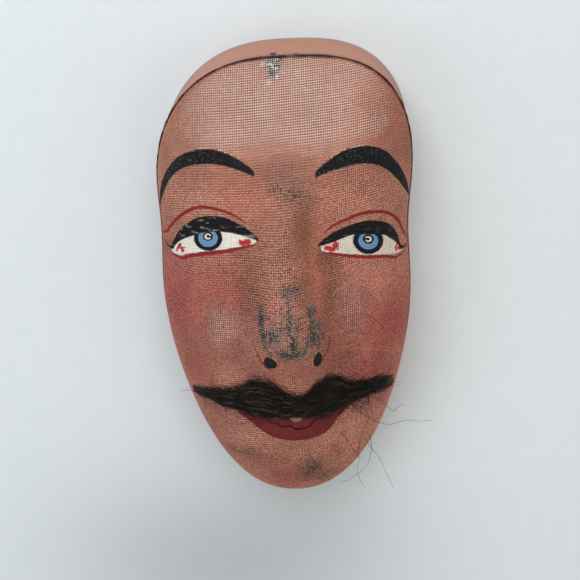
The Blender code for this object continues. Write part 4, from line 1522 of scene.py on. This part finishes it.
class MASK_OT_moustache(bpy.types.Operator):
    """Make the moustache: a dark heart of hair, its strands, and the loose hairs that stray from it."""

    bl_idname = "mask.moustache"
    bl_label = "Make the moustache"

    def execute(self, context):
        form, hair, paints = Form(), settings("hair"), settings("paints")
        cage = bmesh.new()
        bmesh.ops.create_uvsphere(cage, u_segments=28, v_segments=90, radius=1.0)
        for vert in cage.verts:
            out, up, run = vert.co
            belly = max(1.0 - run * run, 1e-9) ** 0.5
            blunt = belly ** 0.3 / belly
            x = run * hair.span / 2.0 * 0.97 + 1.0 * MM
            low, top = (float(v) for v in hair_edges(np.array(x)))
            lump = 1.0 + 0.06 * sin(x / (1.7 * MM)) + 0.05 * sin(x / (0.9 * MM) + 5.0 * up)
            lift = 0.35 * MM + float(hair_depth(hair, np.array(x))) * 0.75 * (0.5 - 0.5 * out * blunt * lump)
            y = (low + top) / 2.0 + up * blunt * (top - low) / 2.0 * 0.84 * lump - HAIR_SAG * lift
            vert.co = (x, y, float(form.height(np.array(x), np.array(y))) + max(lift, 0.3 * MM))
        heart = hair_finish(paints, by_strand=False)
        cage_piece("moustache_heart", cage, heart, ("moustache",))

        finish = hair_finish(paints, by_strand=True)
        mesh = strand_lines(form, hair).tubes("moustache_hair", hair.strand, 3, finish)
        show("moustache_hair", mesh)
        for name, routes, radius in (("loose_hairs", LOOSE_HAIRS, 0.14 * MM),
                                     ("hanging_hairs", hanging_hairs(form), 0.09 * MM)):
            hairs = Lines()
            for number, points in enumerate(routes):
                route = through(points, 6 * len(points)) * MM
                hairs.add(number, route, np.linspace(1.0, 0.6, len(route)))
            show(name, hairs.tubes(name, radius, 4, finish))
        return {"FINISHED"}


# The stage's lights: name, place in metres, size, power and tint
LAMPS = (("window", (-0.15, 0.85, 1.0), 1.1, 13.5, (0.96, 0.98, 1.0)),
         ("fill", (0.85, -0.3, 0.9), 1.2, 4.2, (1.0, 0.91, 0.78)),
         ("side", (-0.9, -0.35, 0.8), 0.9, 3.8, (0.87, 0.94, 1.0)))
# The photograph's width in pixels, and how wide a pixel is at the mask's middle
PHOTO_WIDTH, PIXEL = 580.0, 0.553 * MM


class MASK_OT_stage(bpy.types.Operator):
    """Set the pale floor, the soft lights and the camera."""

    bl_idname = "mask.stage"
    bl_label = "Set the stage"

    def execute(self, context):
        sizes = settings("stage")
        scene = context.scene
        bpy.ops.mesh.primitive_grid_add(x_subdivisions=2, y_subdivisions=2, size=sizes.floor)
        floor = context.object
        floor.name = "pale_floor"
        shader = Shader("pale_floor")
        grain = shader.noise(90.0, 3.0)
        pale = shader.mix((0.66, 0.70, 0.71), (0.70, 0.735, 0.745), grain)
        # A painted shadow darkens the floor below the chin
        shade = 1.0 - 0.34 * shader.spot(-45.0, -200.0, 110.0, 75.0)
        floor.data.materials.append(shader.finish(shader.dim(pale, shade), 0.7 + 0.1 * grain))

        world = bpy.data.worlds.new("soft_room")
        world.use_nodes = True
        sky = world.node_tree.nodes["Background"].inputs
        sky["Color"].default_value = (0.93, 0.96, 1.0, 1.0)
        sky["Strength"].default_value = 0.38
        scene.world = world
        scene.view_settings.view_transform = "Standard"
        for name, place, size, power, tint in LAMPS:
            lamp = bpy.data.lights.new(name, "AREA")
            lamp.size, lamp.energy, lamp.color = size, power, tint
            thing = bpy.data.objects.new(name, lamp)
            thing.location = place
            toward = Vector((0.0, 0.0, 0.04)) - Vector(place)
            thing.rotation_euler = toward.to_track_quat("-Z", "Y").to_euler()
            scene.collection.objects.link(thing)

        # The open cells of the real mask show the bright wall behind it, so a card that glows lies under the
        # face: painted light seen through the cells
        corners = 96
        x, y = Form().rim_point(np.linspace(0.0, 2.0 * pi, corners, endpoint=False), 4.0 * MM)
        sheet = plain_mesh("bright_card", np.stack([x, y, np.full(corners, 0.3 * MM)], axis=-1),
                           faces=[range(corners)])
        card = bpy.data.objects.new("bright_card", sheet)
        scene.collection.objects.link(card)
        shader = Shader("bright_card")
        white = shader.mix((0.85, 0.83, 0.77), (0.92, 0.90, 0.84), shader.noise(60.0, 3.0))
        shader.feed(shader.principled.inputs["Emission Color"], white)
        shader.principled.inputs["Emission Strength"].default_value = sizes.card
        sheet.materials.append(shader.finish(white, 0.7 + 0.1 * shader.noise(200.0)))

        # The camera looks at the lying face from the forehead's side, with the photograph's framing
        aim = Vector((0.74, -5.75, 35.4)) * MM
        yaw, tilt, roll = radians(1.98), sizes.raised, radians(2.4)
        back = Vector((sin(yaw) * cos(tilt), sin(tilt), cos(yaw) * cos(tilt)))
        up = (Vector((0.0, 1.0, 0.0)) - back * back.y).normalized()
        right = up.cross(back)
        right, up = right * cos(roll) - up * sin(roll), right * sin(roll) + up * cos(roll)
        turn = Matrix((right, up, back)).transposed().to_4x4()
        camera = bpy.data.objects.new("camera", bpy.data.cameras.new("camera"))
        camera.matrix_world = Matrix.Translation(aim + back * sizes.distance) @ turn
        lens = camera.data
        lens.sensor_width = 36.0
        lens.lens = lens.sensor_width * sizes.distance / (PIXEL * PHOTO_WIDTH)
        lens.clip_start = 0.01
        scene.collection.objects.link(camera)
        scene.camera = camera
        return {"FINISHED"}


class MASK_PT_panel(bpy.types.Panel):
    """The mask's sizes, colours and steps."""

    bl_idname = "MASK_PT_panel"
    bl_label = "Wire mesh mask"
    bl_space_type = "VIEW_3D"
    bl_region_type = "UI"
    bl_category = "Mask"

    def draw(self, context):
        for step in OPERATORS:
            self.layout.operator(step.bl_idname)
        for name in GROUPS:
            box = self.layout.box()
            box.label(text=name.capitalize())
            group = settings(name)
            for key in group.__annotations__:
                box.prop(group, key)


GROUPS = {"form": MaskForm, "cloth": ClothSizes, "paints": PaintColours, "hair": HairSizes,
          "stage": StageSizes}
OPERATORS = (MASK_OT_weave, MASK_OT_band, MASK_OT_seam, MASK_OT_moustache, MASK_OT_stage)


def register():
    for item in (*GROUPS.values(), *OPERATORS, MASK_PT_panel):
        bpy.utils.register_class(item)
    for name, group in GROUPS.items():
        setattr(bpy.types.Scene, "mask_" + name, bpy.props.PointerProperty(type=group))


def unregister():
    for name in GROUPS:
        delattr(bpy.types.Scene, "mask_" + name)
    for item in reversed((*GROUPS.values(), *OPERATORS, MASK_PT_panel)):
        bpy.utils.unregister_class(item)


def main():
    register()
    bpy.ops.mask.weave()
    bpy.ops.mask.band()
    bpy.ops.mask.seam()
    bpy.ops.mask.moustache()
    bpy.ops.mask.stage()


if __name__ == "__main__":
    main()
